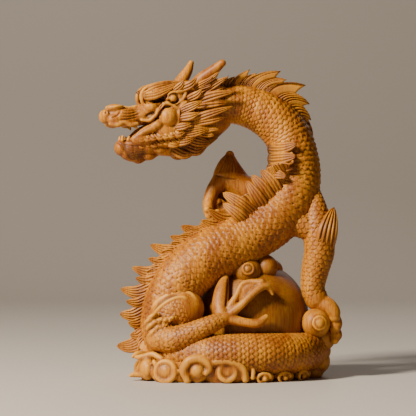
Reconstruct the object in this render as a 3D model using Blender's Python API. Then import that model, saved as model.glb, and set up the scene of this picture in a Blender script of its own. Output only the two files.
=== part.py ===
"""A desk dragon carved from one block of boxwood, coiled round a pearl on a bed of clouds.

Metres, +Z up. The viewer stands at -Y, the dragon's head looks to -X, and the origin is on the
table under the middle of the base. The figure is one solid: every form below is laid into one
mesh, fused into a single skin, thinned to few faces, and sawn off flat where it stands.
"""

import math

import bmesh
import bpy
import numpy as np
from mathutils import Matrix, Vector

# Driving sizes, in metres
FIGURE_HEIGHT = 0.200
BASE_THICKNESS = 0.009
PEARL_RADIUS = 0.036
CREST_THICKNESS = 0.0030
SAW_DEPTH = 0.004
FUSE_VOXEL = 0.0009
FACE_BUDGET = 9300

# Pose, proportions and carving are shares of the height: one share is a two-hundredth of it
SHARE = FIGURE_HEIGHT / 200

# Wood, as the photograph shows it under warm light
WOOD_COLOUR = (0.44, 0.20, 0.055, 1.0)
WOOD_ROUGHNESS = 0.42

# The spine from inside the skull to the tail's end: x, y, z and the body's radius, in shares
SPINE = [
    (-21.5, -6, 166.5, 9.5), (-10, -4, 170.5, 11.5), (4.5, -2, 172, 12.3), (18.5, 0, 170, 13.3),
    (31.5, 0, 163.5, 14.2), (41.5, 0, 153, 14.8), (46.5, -1, 139, 15.2), (47.5, -2, 124, 15.8),
    (43, -4, 110, 16.4), (31.5, -6, 97.5, 16.6), (16, -8, 87.5, 16.6), (1, -11, 80, 17),
    (-13, -13, 72, 17), (-25, -14, 60.5, 16.6), (-32.5, -13, 47, 16), (-35, -12, 33, 15.5),
    (-31.5, -18, 22, 14.5), (-21.5, -28, 16.5, 13.5), (-6.5, -35, 16, 13), (11.5, -37, 17, 12.6),
    (31.5, -33, 17, 12.5), (49, -20, 16.5, 12.3), (57, 2, 16, 12), (50, 26, 16, 11.5),
    (31, 41, 17, 11), (9, 44, 20, 10.2), (-8, 41, 28, 9.2), (-17, 37, 40, 8), (-16, 34, 53, 6.6),
    (-8, 33, 64, 5), (1, 33, 71, 3.4),
]
SPINE_STEPS = 6

# Which way the crest is rooted on the body at some rows of SPINE: x, y, z
NECK_ROOT = {
    1: (0.0, -0.2, 1.0), 2: (0.05, -0.2, 1.0), 3: (0.3, -0.2, 0.95), 4: (0.6, -0.15, 0.8),
    4.6: (0.85, 0.1, 0.5), 5.2: (0.9, 0.35, 0.25), 6: (0.7, 0.7, 0.1), 7.4: (0.75, 0.65, -0.1),
}
BACK_ROOT = {
    5.4: (-0.78, -0.62, 0.0), 6.4: (-0.7, -0.7, 0.05), 7.0: (-0.45, -0.88, 0.1),
    7.6: (-0.5, -0.83, 0.2), 8.5: (-0.6, -0.55, 0.57), 9.5: (-0.47, -0.2, 0.86),
    11: (-0.5, -0.1, 0.87), 12: (-0.62, -0.1, 0.78), 13: (-0.82, -0.1, 0.57),
    14: (-0.96, -0.1, 0.28), 15: (-1.0, -0.05, 0.0), 16: (-0.95, -0.05, -0.35),
    17: (-0.7, -0.3, -0.5),
}
TAIL_ROOT = {
    23: (0.6, 0.6, 0.5), 24: (0.3, 0.8, 0.5), 25: (0.0, 0.95, 0.3), 26: (-0.5, 0.85, 0.0),
    27: (-0.8, 0.5, 0.0), 28: (-0.9, 0.3, 0.3), 30: (-0.6, 0.4, 0.6),
}
# Where the crest of the back folds over beside the throat, it rises another way than its root
BACK_RISE = {
    5.4: (0.8, -0.6, 0.0), 6.3: (0.65, -0.75, 0.05), 6.8: (0.2, -0.85, 0.4),
    7.4: (-0.45, -0.45, 0.77), 8.0: (-0.35, -0.2, 0.9), 8.6: (-0.15, -0.15, 0.97),
    9.4: (-0.35, -0.15, 0.92),
}
# How far a spike leans towards the tail, against its height, at some rows
NECK_LEAN = {1: 0.7, 8: 0.7}
BACK_LEAN = {5.4: 0.1, 8.6: 0.05, 10: 0.5, 11.5: 0.75, 17: 0.75}
# Crest spikes: the row over which the tip stands, its height off the skin, and the height of the
# notch behind it, in shares
NECK_SPIKES = [
    (2.0, 5.8, 3.5), (2.2, 5.1, 3.0), (2.65, 10.4, 6.1), (2.9, 8.8, 7.5), (3.5, 15, 10),
    (3.75, 11.7, 9), (4.2, 15.6, 7.9), (4.58, 9.2, 5.2), (4.98, 4.6, 3.0), (5.6, 2.0, 1.2),
    (6.4, 2.4, 1.2), (7.1, 2.6, 1.0),
]
BACK_SPIKES = [
    (5.6, 14.5, 11.5), (6.0, 14.5, 12), (6.45, 14, 11), (6.85, 13, 11), (7.25, 14.5, 12),
    (7.7, 16, 13), (8.2, 17, 13), (8.65, 16.5, 11), (9.2, 13.5, 8.5), (9.9, 14.7, 7.5),
    (10.35, 9.5, 6), (10.8, 10, 5), (11.2, 7, 4), (11.85, 10.5, 5), (12.25, 8.4, 4.5),
    (12.75, 13.4, 5.5), (13.05, 8.6, 5), (13.48, 14.6, 5.5), (13.67, 9, 5), (14.1, 15.6, 6),
    (14.35, 10, 5.5), (14.7, 13.4, 5.5), (14.92, 8, 5), (15.25, 8, 6), (15.5, 16.4, 8),
    (16.3, 9, 5),
]
TAIL_SPIKES = [(23.2 + 0.6 * k, 7.0 if k % 2 else 5.0, 2.6) for k in range(10)]
NOTCH_GAP = 0.05  # how far, in rows, a notch stands before its spike's tip
CREST_SINK = 1.2  # how deep the crest is rooted below the skin
ROW_LENGTH = 15.0

# The head's own frame: it stands at HEAD_ORIGIN and is turned this far towards the viewer
HEAD_ORIGIN = (-28.5, -8.0, 168.0)
HEAD_TURN = math.radians(16)


def unit(vector):
    """The vector at length one."""
    vector = np.asarray(vector, float)
    return vector / np.linalg.norm(vector)


def smooth(rows, steps):
    """A Catmull-Rom curve through the rows, with this many steps from each row to the next."""
    rows = np.asarray(rows, float)
    padded = np.vstack([2 * rows[0] - rows[1], rows, 2 * rows[-1] - rows[-2]])
    at = np.linspace(0, len(rows) - 1, (len(rows) - 1) * steps + 1)
    index = np.minimum(at.astype(int), len(rows) - 2)
    t = (at - index)[:, None]
    a, b, c, d = (padded[index + i] for i in range(4))
    return 0.5 * (
        2 * b + (c - a) * t + (2 * a - 5 * b + 4 * c - d) * t**2 + (3 * b - a - 3 * c + d) * t**3
    )


def loft(block, centres, wide, thin, side, sides=14, ends=3):
    """Lays an elliptical limb into the block: wide across, thin along side, round at both ends."""
    centres = np.asarray(centres, float)
    wide = np.broadcast_to(np.asarray(wide, float), len(centres))
    thin = np.broadcast_to(np.asarray(thin, float), len(centres))
    along = np.gradient(centres, axis=0)
    along /= np.linalg.norm(along, axis=1)[:, None]
    flat = np.broadcast_to(np.asarray(side, float), centres.shape)
    across = np.cross(flat, along)
    across /= np.linalg.norm(across, axis=1)[:, None]
    flat = np.cross(along, across)
    turn = np.linspace(0, 2 * math.pi, sides, endpoint=False)

    def ring(i, push=0.0, scale=1.0):
        middle = centres[i] + along[i] * push
        points = (
            middle
            + np.outer(np.cos(turn), across[i]) * wide[i] * scale
            + np.outer(np.sin(turn), flat[i]) * thin[i] * scale
        )
        return [block.verts.new(point * SHARE) for point in points]

    lean = [math.pi / 2 * (k + 1) / (ends + 1) for k in range(ends)]
    rings = [ring(0, -min(wide[0], thin[0]) * math.sin(a), math.cos(a)) for a in reversed(lean)]
    rings += [ring(i) for i in range(len(centres))]
    rings += [ring(-1, min(wide[-1], thin[-1]) * math.sin(a), math.cos(a)) for a in lean]
    for first, second in zip(rings, rings[1:]):
        for k in range(sides):
            j = (k + 1) % sides
            block.faces.new((first[k], first[j], second[j], second[k]))
    block.faces.new(rings[0][::-1])
    block.faces.new(rings[-1])


def limb(block, rows, steps=4, sides=14):
    """A round limb through rows of x, y, z and radius."""
    path = smooth(rows, steps)
    side = unit(np.cross(path[-1, :3] - path[0, :3], (0.13, 0.31, 0.94)))
    loft(block, path[:, :3], path[:, 3], path[:, 3], side, sides)


def blade(block, rows, thickness, side, steps=4, sides=10):
    """A flat tapering blade, such as a lock of hair, through rows of x, y, z and half width."""
    path = smooth(rows, steps)
    share = np.linspace(0, 1, len(path))
    thin = thickness * (1 - 0.55 * share)
    loft(block, path[:, :3], path[:, 3], np.minimum(thin, path[:, 3]), side, sides)


def ball(block, centre, radii, axes=None, subdivisions=3):
    """An ellipsoid, its radii along the given axes or along X, Y and Z."""
    radii = (radii,) * 3 if np.isscalar(radii) else radii
    turn = Matrix(np.asarray(axes, float).T.tolist()).to_4x4() if axes is not None else Matrix()
    size = Matrix.Diagonal((*(r * SHARE for r in radii), 1.0))
    place = Matrix.Translation(Vector(centre) * SHARE) @ turn @ size
    bmesh.ops.create_icosphere(block, subdivisions=subdivisions, radius=1.0, matrix=place)


def scroll(block, centre, normal, radius, boss=0.45):
    """A cloud scroll: a rolled ring round a round boss, facing along normal."""
    normal = unit(normal)
    first = unit(np.cross(normal, (0.2, 0.1, 1.0)))
    second = np.cross(normal, first)
    turn = np.linspace(0, 2 * math.pi, 15)
    rim = np.asarray(centre) + radius * (np.outer(np.cos(turn), first) + np.outer(np.sin(turn), second))
    loft(block, rim, radius * 0.24, radius * 0.24, normal, sides=8)
    ball(block, centre, radius * boss, subdivisions=2)


# The spine, its skin and the crest


def spine_curve():
    """The spine as a smooth curve of x, y, z and radius."""
    return smooth(SPINE, SPINE_STEPS)


def at_row(curve, row):
    """The curve's point at a row of SPINE, and the way it runs there."""
    place = row * SPINE_STEPS
    low = min(int(place), len(curve) - 2)
    point = curve[low] + (curve[low + 1] - curve[low]) * (place - low)
    return point, unit(curve[low + 1, :3] - curve[low, :3])


def between(ways, row):
    """The direction that ways gives at a row."""
    rows = sorted(ways)
    return unit([np.interp(row, rows, [ways[r][k] for r in rows]) for k in range(3)])


def crest_root(curve, root_ways, row):
    """The crest's root at a row, a little below the skin, and the way that the spine runs there."""
    point, along = at_row(curve, row)
    way = between(root_ways, row)
    way = unit(way - along * (way @ along))
    return point[:3] + way * (point[3] - CREST_SINK), along


def crest_edge(spikes):
    """The crest's free edge as rows and heights: up to each tip, then back under it to a notch."""
    edge = [(spikes[0][0] - 0.3, 1.0)]
    for row, height, notch in spikes:
        before = edge[-1]
        rise = np.linspace(0, 1, 5)[1:]
        bulge = np.sin(rise * math.pi) * (height - before[1]) * 0.12
        edge += [
            (before[0] + (row - before[0]) * t, before[1] + (height - before[1]) * t**1.2 + up)
            for t, up in zip(rise, bulge)
        ]
        edge.append((row - NOTCH_GAP, notch))
    edge.append((edge[-1][0] + 0.5, 1.0))
    return np.array(edge)


def crest(block, curve, root_ways, rise_ways, leans, spikes):
    """One run of crest: a thin fin whose free edge breaks into spikes that lean to the tail."""
    edge = crest_edge(spikes)
    lean = np.interp(edge[:, 0], sorted(leans), [leans[r] for r in sorted(leans)])
    feet = np.maximum.accumulate(edge[:, 0] - lean * edge[:, 1] / ROW_LENGTH)
    thin = CREST_THICKNESS / 2 / SHARE
    rings = []
    for (row, height), foot in zip(edge, feet):
        root, along = crest_root(curve, root_ways, foot)
        below, _ = crest_root(curve, root_ways, row)
        tip = below + between(rise_ways, row) * (height + CREST_SINK)
        bend = root + between(rise_ways, foot) * (height + CREST_SINK) * 0.6
        side = unit(np.cross(along, tip - root))
        ring = []
        for t, half in ((0, 1.0), (0.5, 0.85), (1, 0.45)):
            middle = root * (1 - t) ** 2 + bend * 2 * t * (1 - t) + tip * t**2
            ring.append((middle + side * half * thin) * SHARE)
            ring.insert(0, (middle - side * half * thin) * SHARE)
        rings.append([block.verts.new(corner) for corner in ring])
    for first, second in zip(rings, rings[1:]):
        for k in range(6):
            j = (k + 1) % 6
            block.faces.new((first[k], first[j], second[j], second[k]))
    block.faces.new(rings[0][::-1])
    block.faces.new(rings[-1])


def body(block):
    """The dragon's body from the skull to the tail, with its three runs of crest."""
    curve = spine_curve()
    limb(block, SPINE, SPINE_STEPS, sides=20)
    crest(block, curve, NECK_ROOT, NECK_ROOT, NECK_LEAN, NECK_SPIKES)
    back_rise = {row: way for row, way in BACK_ROOT.items() if row > 9.5} | BACK_RISE
    crest(block, curve, BACK_ROOT, back_rise, BACK_LEAN, BACK_SPIKES)
    crest(block, curve, TAIL_ROOT, TAIL_ROOT, NECK_LEAN, TAIL_SPIKES)
    for swing, lift in ((-8, 10), (-1, 14), (6, 11)):
        blade(block, [(-1, 33, 69, 3), (4 + swing / 2, 32, 75, 2.6), (4 + swing, 30, 73 + lift, 1)], 1.8, (0, 1, 0))


# The head, in its own frame: forward of the eyes, towards its left side, and up


def head_axes():
    """The head's forward, left and up axes in the world."""
    forward = np.array([-math.cos(HEAD_TURN), -math.sin(HEAD_TURN), 0.0])
    left = np.array([math.sin(HEAD_TURN), -math.cos(HEAD_TURN), 0.0])
    return np.array([forward, left, (0.0, 0.0, 1.0)])


def in_head(rows, flip=1):
    """Rows whose first three numbers are forward, left and up, as world rows."""
    rows = np.array(rows, float)
    rows[:, 1] *= flip
    rows[:, :3] = rows[:, :3] @ head_axes() + np.array(HEAD_ORIGIN)
    return rows


def head_ball(block, centre, radii, flip=1):
    """An ellipsoid in the head's frame."""
    place = in_head([centre], flip)[0]
    ball(block, place, radii, head_axes())


def head_loft(block, rows, steps=4):
    """A limb down the middle of the head, through rows of forward, left, up, half width, half height."""
    path = smooth(rows, steps)
    wide, tall = path[:, 3], path[:, 4]
    loft(block, in_head(path)[:, :3], wide, tall, head_axes()[2], sides=16)


# The middle of the head: rows of forward, left, up, half width and half height
SNOUT = [
    (6, 0, 1, 11, 10), (18, 0, -2.6, 9.4, 7.6), (28, 0, -4.6, 8, 6.2), (37, 0, -4.2, 8, 6.4),
    (44.5, 0, -5, 5.8, 4.8),
]
LOWER_JAW = [
    (0, 0, -16, 9.5, 8), (13, 0, -21, 8.6, 7.4), (24, 0, -24.6, 7.8, 8.2),
    (30.5, 0, -24.4, 6.8, 7.8), (34, 0, -23.6, 5.4, 5.8),
]
THROAT = [(10, 0, -20, 9, 9), (-4, 0, -20.5, 9.5, 9), (-12, 0, -17, 9, 9.5), (-20, 0, -12, 9, 9), (-28, 0, -5, 9, 9)]
# Paired forms on one side of the head: centre and radii
SIDE_BALLS = [
    ((38.6, 4.4, -0.2), (4.2, 3.6, 3.4)), ((7.1, 10.6, -5.1), (6, 5.4, 6)),
    ((-1, 8, -7), (11, 6, 13)), ((13.7, 9.6, -9.6), (3.8, 3.2, 3.4)), ((4.3, 11.2, 6.3), 2.5),
    ((17.3, 7.4, 0.6), (4.8, 4, 4)), ((4, 9, -13.5), (10, 4.6, 8)),
]
# Paired limbs on one side of the head: rows of forward, left, up and radius
SIDE_LIMBS = [
    [(19.8, 6.2, 9.6, 3.4), (14, 8.6, 11, 4.6), (6.5, 9.4, 13, 4.2), (-1, 9.6, 15, 3)],
    [(16.5, 9.4, -11.5, 3), (22, 8.4, -13.8, 2.8), (27, 6.6, -18, 2.2)],
    [(22.7, 8.4, -6.9, 1.3), (18.7, 9.4, -7.1, 1.3), (14.8, 10.2, -2.8, 1.3), (10.3, 11.4, 2.6, 1.3), (3.4, 12.4, 0.5, 1.2)],
    [(42.4, 5.2, -9.6, 1.9), (37, 7, -9.6, 1.9), (30, 8, -9.8, 1.7), (26.5, 8.6, -10.8, 1.2)],
    [(39.6, 5.4, -10.4, 1.6), (39.2, 5.6, -13, 0.8)],
    [(34.6, 4.4, -18, 1.5), (34.4, 4.4, -14.6, 0.9)],
    [(7.4, 11.4, 8.2, 1), (2.8, 12.4, 10, 1.2), (-2.2, 12.8, 11.2, 1.3), (-2.2, 12.8, 7.4, 1.2), (1.1, 12.6, 2.9, 0.9)],
    [(-3.5, 12.6, 3.7, 1.4), (-0.1, 13, 0.8, 1.4), (1.3, 13, -5.5, 1.3), (2.8, 12, -11.7, 1.2)],
]
HORNS = [
    [(-28, 1, 181, 4.8), (-24.6, 3, 187, 4), (-20.6, 4.5, 193.4, 3), (-18.4, 5.6, 199.2, 1.6)],
    [(-17, -10, 181, 4.6), (-11.5, -12, 187, 4.2), (-5, -14, 191.8, 3.4), (1.4, -15.5, 197, 2.2)],
]


def head(block):
    """Skull, snout, open jaws, brows, eyes, cheeks and ears."""
    head_ball(block, (-5, 0, 3), (16, 12, 14))
    head_ball(block, (7, 0, 9), (13, 7.5, 6.6))
    head_ball(block, (-9, 0, 10), (11, 10.5, 8.5))
    for rows in (SNOUT, LOWER_JAW, THROAT):
        head_loft(block, rows)
    for flip in (1, -1):
        for centre, radii in SIDE_BALLS:
            head_ball(block, centre, radii, flip)
        for rows in SIDE_LIMBS:
            limb(block, in_head(rows, flip), sides=10)


def horns(block):
    """The two blunt horns."""
    for rows in HORNS:
        limb(block, rows)


# Locks of the mane on one side of the head: root, middle and tip in the head's frame, half width
MANE = [
    ((-12, 9, 8), (-22, 13, 13.4), (-30.8, 13, 18), 3.8), ((-8, 11, 3), (-22, 14.5, 6.4), (-34.2, 14, 8), 4.6),
    ((-5, 11, -8.5), (-19.5, 14.5, -4.6), (-33.5, 14, -0.6), 3.9), ((1, 10, -15.4), (-9.7, 13.6, -13.8), (-20.7, 13, -12.2), 3.6),
    ((4, 8.5, -20.6), (-3.8, 12, -19.8), (-10.4, 11, -18.3), 2.9), ((9, 8, -19.6), (3.4, 10, -22), (-1.5, 9, -22.6), 2.5),
    ((-5, 13, 6), (-9.7, 16, 8.6), (-13.1, 16, 11.5), 2.3), ((-0.5, 13, -1.4), (-7, 16.5, 1.6), (-13.3, 16.5, 4), 2.6),
    ((0, 13, -6), (-5.7, 16.2, -4.8), (-11.3, 16, -3.5), 2.4), ((3, 12, -12), (-2.3, 14.6, -10.9), (-6.5, 14, -9.9), 2.2),
    ((-1, 11, 12.4), (-6.4, 14, 15), (-10.6, 13, 18.4), 2.4), ((-10, 10.5, 13), (-16.8, 13.5, 16), (-20.8, 13, 18.6), 2.6),
    ((3, 10, 11.6), (-0.4, 12, 14.6), (-2.7, 11.6, 17.3), 1.9), ((-14, 8, 14), (-22, 10, 18.6), (-26, 8, 22), 2.6),
    ((-12, 9, -14), (-19, 10, -14), (-25, 9, -14.5), 3.2), ((-8, 7, -19), (-15, 8, -20.5), (-21, 7, -22), 3.2),
]
MANE_THICKNESS = 1.9
# The short curls along the jaw: the first one, the step back to the next, and how many
CURL_FIRST, CURL_STEP, CURL_COUNT = (24.5, 7.2, -17), (-3.6, 0.45, 0.5), 7
BEARD = [((28, 0, -28), (20, 0, -31), 3.4), ((22, 3, -27), (13, 3.5, -28.5), 2.8), ((22, -3, -27), (13, -3.5, -28.5), 2.8)]


def mane(block):
    """The locks that stream back from the cheeks and crown, and the curls along the jaw."""
    for flip in (1, -1):
        side = in_head([(0, 1, 0)], flip)[0] - np.array(HEAD_ORIGIN)
        for root, middle, tip, half in MANE:
            rows = in_head([(*root, half), (*middle, half * 0.95), (*tip, 0.7)], flip)
            blade(block, rows, MANE_THICKNESS, side)
        for k in range(CURL_COUNT):
            root = np.array(CURL_FIRST) + np.array(CURL_STEP) * k
            rows = [(*root, 1.8), (*(root + (-2.4, 1.2, -3.4)), 1.6), (*(root + (-5.5, 0.4, -5)), 0.8)]
            limb(block, in_head(rows, flip), steps=3, sides=8)
    for root, tip, half in BEARD:
        middle = (np.array(root) + np.array(tip)) / 2 + (0, 0, -1.4)
        limb(block, in_head([(*root, half), (*middle, half), (*tip, 0.9)]), sides=10)


# The legs: rows of x, y, z and radius

NEAR_FORELEG = [
    (47, -9, 104, 8), (54, -11, 107, 8.5), (61, -12, 102, 8.6), (63.5, -11.5, 94, 9.2),
    (61.8, -10, 81, 10), (59.4, -9, 68, 8.8), (57.6, -9, 56.5, 7.2), (58.5, -9, 49.5, 6),
]
NEAR_ARMPIT = [(38, -5, 94, 8), (48, -7, 92, 8.5), (57, -9, 87, 7)]
NEAR_ELBOW = [(63.5, -9.5, 93, 7.4), (67.3, -8, 99, 5.6), (70.4, -8, 105, 2.4)]
NEAR_FORE_TOES = [
    [(61, -8, 48, 5), (69, -8, 43.5, 3.6), (74, -7, 36, 2.8), (75, -6.5, 28.5, 1.2)],
    [(61, -10, 47, 4.4), (67, -16, 43, 3.2), (70.5, -19, 36.5, 2.6), (70.5, -19, 29.5, 1.1)],
    [(58, -11, 47, 4.2), (53, -15.5, 44.5, 3), (49.5, -19, 39.5, 2.4), (49, -20, 33, 1)],
    [(61, -5, 47, 4.4), (65, 2, 42, 3.2), (69, 6, 35, 2.6), (70, 7, 28, 1.1)],
]
FAR_FORELEG = [
    (33, 8, 108, 9), (24, 12, 114, 9), (15, 13, 119, 8.6), (7.5, 13.5, 124, 8.4),
    (4.2, 13.5, 129, 7.8), (0.5, 12.5, 123.5, 6.4), (-4.6, 11, 117.5, 4.6), (-7.4, 8, 110.5, 3.8),
    (-7.6, 4, 105, 3.4), (-7, 1, 101.5, 2.8),
]
FAR_ELBOW = [(4.3, 13.5, 130, 7.6), (4.8, 13.5, 135, 5.6), (5.6, 13.5, 139.4, 3), (6, 13.5, 141, 1.4)]
FAR_WEB = [(10, 15, 113), (0, 14.5, 113), (-3, 10, 105)]
NEAR_HAUNCH = ((-27, -22, 43.5), (17.5, 12, 12.2), 20)
NEAR_SHIN = [
    (-38, -30, 26, 8), (-30, -34.5, 25.6, 8.4), (-22, -36.5, 27.6, 7.8), (-14, -37.5, 31.6, 6.5),
    (-6, -37, 35.2, 5.6), (2.5, -34, 39, 4.4),
]
NEAR_HIND_TOES = [
    [(0.4, -33, 41, 4.8), (-0.5, -30, 47.5, 4.4), (0.6, -25.5, 56, 3.6), (2.8, -20, 63.5, 2), (3.4, -18, 66, 1)],
    [(4, -33, 41, 3.6), (14, -33.5, 51.5, 2.8), (22.5, -30, 60, 2.8), (28.5, -28.5, 58.5, 2.2), (31.2, -29, 53, 0.9)],
    [(4, -34, 38.5, 3.4), (14.5, -35.5, 36.8, 2.7), (22.5, -35, 36.2, 2.8), (26.8, -34, 39.5, 1.6)],
]
FAR_HAUNCH = [(-30, 2, 48, 11), (-33, 12, 40, 11), (-34, 21, 30, 9), (-33, 27, 21, 6)]
FAR_SHIN = [(-33, 27, 21, 6), (-40, 20, 17, 5.2), (-46, 10, 13, 4.6), (-48, 3, 9, 4)]
FAR_HIND_TOES = [
    [(-43, -16, 13, 4), (-48, -22, 14.5, 3.4), (-51.5, -26, 16, 2.2), (-54.5, -29, 14.6, 0.9)],
    [(-45, -20, 5, 4), (-50, -25, 4.6, 3.2), (-53, -28, 3.8, 2), (-56, -30, 3, 0.8)],
    [(-46, 6, 8, 4), (-47, -4, 8, 4), (-45, -16, 8, 4)],
]
KNEE_TUFTS = [(-42, -29, 33), (-43, -28, 28.5), (-41, -30, 38), (-36, -33, 35.5)]


def legs(block):
    """Four legs, each with its elbow or knee tuft, toes and claws."""
    for rows in (NEAR_FORELEG, NEAR_ARMPIT, NEAR_ELBOW, NEAR_SHIN):
        limb(block, rows)
    for rows in (FAR_FORELEG, FAR_ELBOW, FAR_HAUNCH, FAR_SHIN):
        limb(block, rows)
    centre, radii, tilt = NEAR_HAUNCH
    lean = math.radians(tilt)
    axes = [(math.cos(lean), 0, math.sin(lean)), (0, 1, 0), (-math.sin(lean), 0, math.cos(lean))]
    ball(block, centre, radii, axes)
    for rows in NEAR_FORE_TOES + NEAR_HIND_TOES + FAR_HIND_TOES:
        limb(block, rows, sides=10)
    for centre in FAR_WEB:
        ball(block, centre, (8, 2.6, 8))
    for x, y, z in KNEE_TUFTS:
        blade(block, [(x + 6, y, z + 2, 2.6), (x, y, z, 2.4), (x - 5, y + 1, z - 4, 0.9)], 1.8, (0, 1, 0))


# The bed of clouds: the lobes' centres and radii, then the scrolls' centres, facings and radii

CLOUD_LOBES = [
    ((-44, -24, 5), (6, 8, 8)), ((-34, -34, 6), (8, 9, 8)), ((-25, -38, 6), (9, 8, 8)),
    ((-15.5, -40, 8), (9, 8, 9)), ((-2, -40, 6), (9, 8, 8)), ((8, -41, 7), (9.4, 8, 8)),
    ((25.5, -36, 3), (7, 6.5, 4.4)), ((38, -29, 3), (7, 6.5, 4.4)), ((49.5, -18, 3.4), (6.6, 7, 4.6)),
    ((57, -4, 4), (8, 9, 7)), ((57, 16, 5), (9, 11, 8)), ((44, 33, 5), (12, 10, 8)),
    ((22, 43, 5), (13, 9, 8)), ((-3, 43, 6), (13, 9, 9)), ((-26, 37, 7), (11, 10, 9)),
    ((-42, 22, 6), (9, 12, 8)), ((-47, 3, 5), (8, 12, 7)),
    ((58.5, -13, 34), 9.6), ((64, -3, 25), (8.6, 10, 9)), ((63.5, 8, 33), (9, 11, 9)),
    ((61.5, -3, 10), (7.6, 10, 8)), ((56, 16, 18), (9, 10, 9)), ((63, 3, 16), (7, 9, 7)),
    ((16, -11, 67), (8.4, 6.5, 7)), ((29, -7, 69), (7.2, 6.5, 6.8)), ((31, 6, 66), (8, 9, 7)),
]
SCROLLS = [
    ((-15.6, -46.5, 8.5), (-0.1, -1, 0.1), 6.3), ((3.6, -47.5, 7), (0, -1, 0.1), 5.2),
    ((-34, -42, 6.6), (-0.3, -1, 0.1), 4.6), ((26, -41.5, 3.6), (0.3, -1, 0.2), 2.8),
    ((39, -34.5, 3.8), (0.5, -1, 0.2), 2.8), ((51, -24, 4.2), (0.8, -0.8, 0.2), 2.8),
    ((61, -21, 36), (0.25, -0.95, 0.1), 4.4), ((17, -17, 68.5), (0.1, -1, 0.25), 3.4),
    ((66, 18, 33), (0.5, 0.9, 0.1), 5.0), ((46, 41.5, 7), (0.5, 0.9, 0.2), 5.0),
    ((22, 51, 7), (0.1, 1, 0.1), 5.5), ((-5, 51, 8), (-0.1, 1, 0.1), 5.5),
    ((-30, 45, 9), (-0.5, 0.9, 0.1), 5.0),
]
BASE_CENTRE = (4, 0)
BASE_RADII = (49, 41)


def clouds(block):
    """The slab that everything stands on, the cloud lobes round it and the scrolls on them."""
    top = BASE_THICKNESS / SHARE
    low = -SAW_DEPTH / SHARE
    place = Matrix.Translation(Vector((*BASE_CENTRE, (top + low) / 2)) * SHARE)
    size = Matrix.Diagonal((BASE_RADII[0] * SHARE, BASE_RADII[1] * SHARE, (top - low) * SHARE, 1.0))
    bmesh.ops.create_cone(block, cap_ends=True, segments=48, radius1=1.0, radius2=0.96, depth=1.0, matrix=place @ size)
    for centre, radii in CLOUD_LOBES:
        ball(block, centre, radii)
    for centre, normal, radius in SCROLLS:
        scroll(block, centre, normal, radius)


def pearl(block):
    """The great pearl inside the coil, sitting just above the table."""
    radius = PEARL_RADIUS / SHARE
    ball(block, (20, 5, 0.5 + radius), radius, subdivisions=4)


# Fusing the block into one carved skin


def wood():
    """Oiled boxwood."""
    material = bpy.data.materials.new("boxwood")
    material.use_nodes = True
    shader = material.node_tree.nodes["Principled BSDF"]
    shader.inputs["Base Color"].default_value = WOOD_COLOUR
    shader.inputs["Roughness"].default_value = WOOD_ROUGHNESS
    shader.inputs["Metallic"].default_value = 0.0
    return material


def carve():
    """Lays every form into one mesh and leaves it as the object dragon_carving."""
    block = bmesh.new()
    body(block)
    head(block)
    horns(block)
    mane(block)
    legs(block)
    clouds(block)
    pearl(block)
    mesh = bpy.data.meshes.new("dragon_carving")
    block.to_mesh(mesh)
    block.free()
    carving = bpy.data.objects.new("dragon_carving", mesh)
    bpy.context.scene.collection.objects.link(carving)
    mesh.materials.append(wood())
    return carving


def saw():
    """The block of waste below the table, as a cutter."""
    half = FIGURE_HEIGHT
    block = bmesh.new()
    bmesh.ops.create_cube(block, size=2 * half, matrix=Matrix.Translation((0, 0, -half)))
    mesh = bpy.data.meshes.new("saw")
    block.to_mesh(mesh)
    block.free()
    cutter = bpy.data.objects.new("saw", mesh)
    bpy.context.scene.collection.objects.link(cutter)
    cutter.hide_render = True
    cutter.display_type = "WIRE"
    return cutter


def face_count(carving):
    """How many triangles the carving has as the viewport shows it."""
    graph = bpy.context.evaluated_depsgraph_get()
    graph.update()
    shown = carving.evaluated_get(graph).to_mesh()
    shown.calc_loop_triangles()
    return len(shown.loop_triangles)


def finish(carving):
    """Fuses the forms into one skin, thins its faces and saws the foot flat."""
    fuse = carving.modifiers.new("fuse", "REMESH")
    fuse.mode = "VOXEL"
    fuse.voxel_size = FUSE_VOXEL
    thin = carving.modifiers.new("thin", "DECIMATE")
    thin.ratio = 1.0
    thin.ratio = min(1.0, FACE_BUDGET / face_count(carving))
    foot = carving.modifiers.new("foot", "BOOLEAN")
    foot.operation = "DIFFERENCE"
    foot.solver = "EXACT"
    foot.object = saw()


def main():
    """Clears the scene and carves the figure."""
    for other in list(bpy.data.objects):
        bpy.data.objects.remove(other)
    finish(carve())


main()
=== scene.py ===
"""Dresses the boxwood dragon: scales, crests, head, mane, legs, pearl and clouds in carved detail.

Shapes are worked out in millimetres in the row frame: x to the right, y away from the viewer, z up.
The viewer stands at -Y and the dragon's head looks to -X. Meshes are stored in metres.
"""

from __future__ import annotations

import logging
import math
from dataclasses import dataclass, field
from enum import Enum

import bpy
import numpy as np
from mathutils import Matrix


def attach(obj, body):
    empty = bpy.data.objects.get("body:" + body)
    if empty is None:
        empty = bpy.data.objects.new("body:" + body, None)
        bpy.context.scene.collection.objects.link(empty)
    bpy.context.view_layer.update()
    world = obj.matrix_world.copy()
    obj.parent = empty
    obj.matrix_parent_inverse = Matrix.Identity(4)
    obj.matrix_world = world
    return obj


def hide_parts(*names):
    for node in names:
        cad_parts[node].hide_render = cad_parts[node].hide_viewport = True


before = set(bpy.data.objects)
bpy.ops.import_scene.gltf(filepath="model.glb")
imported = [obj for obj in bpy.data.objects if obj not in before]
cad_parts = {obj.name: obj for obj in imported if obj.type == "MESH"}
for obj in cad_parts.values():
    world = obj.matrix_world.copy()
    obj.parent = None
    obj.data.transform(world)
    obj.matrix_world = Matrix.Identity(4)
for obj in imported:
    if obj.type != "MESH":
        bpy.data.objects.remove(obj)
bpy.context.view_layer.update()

LOG = logging.getLogger("dragon")
MM = 0.001
CAD_NODE = "dragon_carving"
BODY = "root"
TO_VIEWER = np.array([0.0, -1.0, 0.0])
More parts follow.
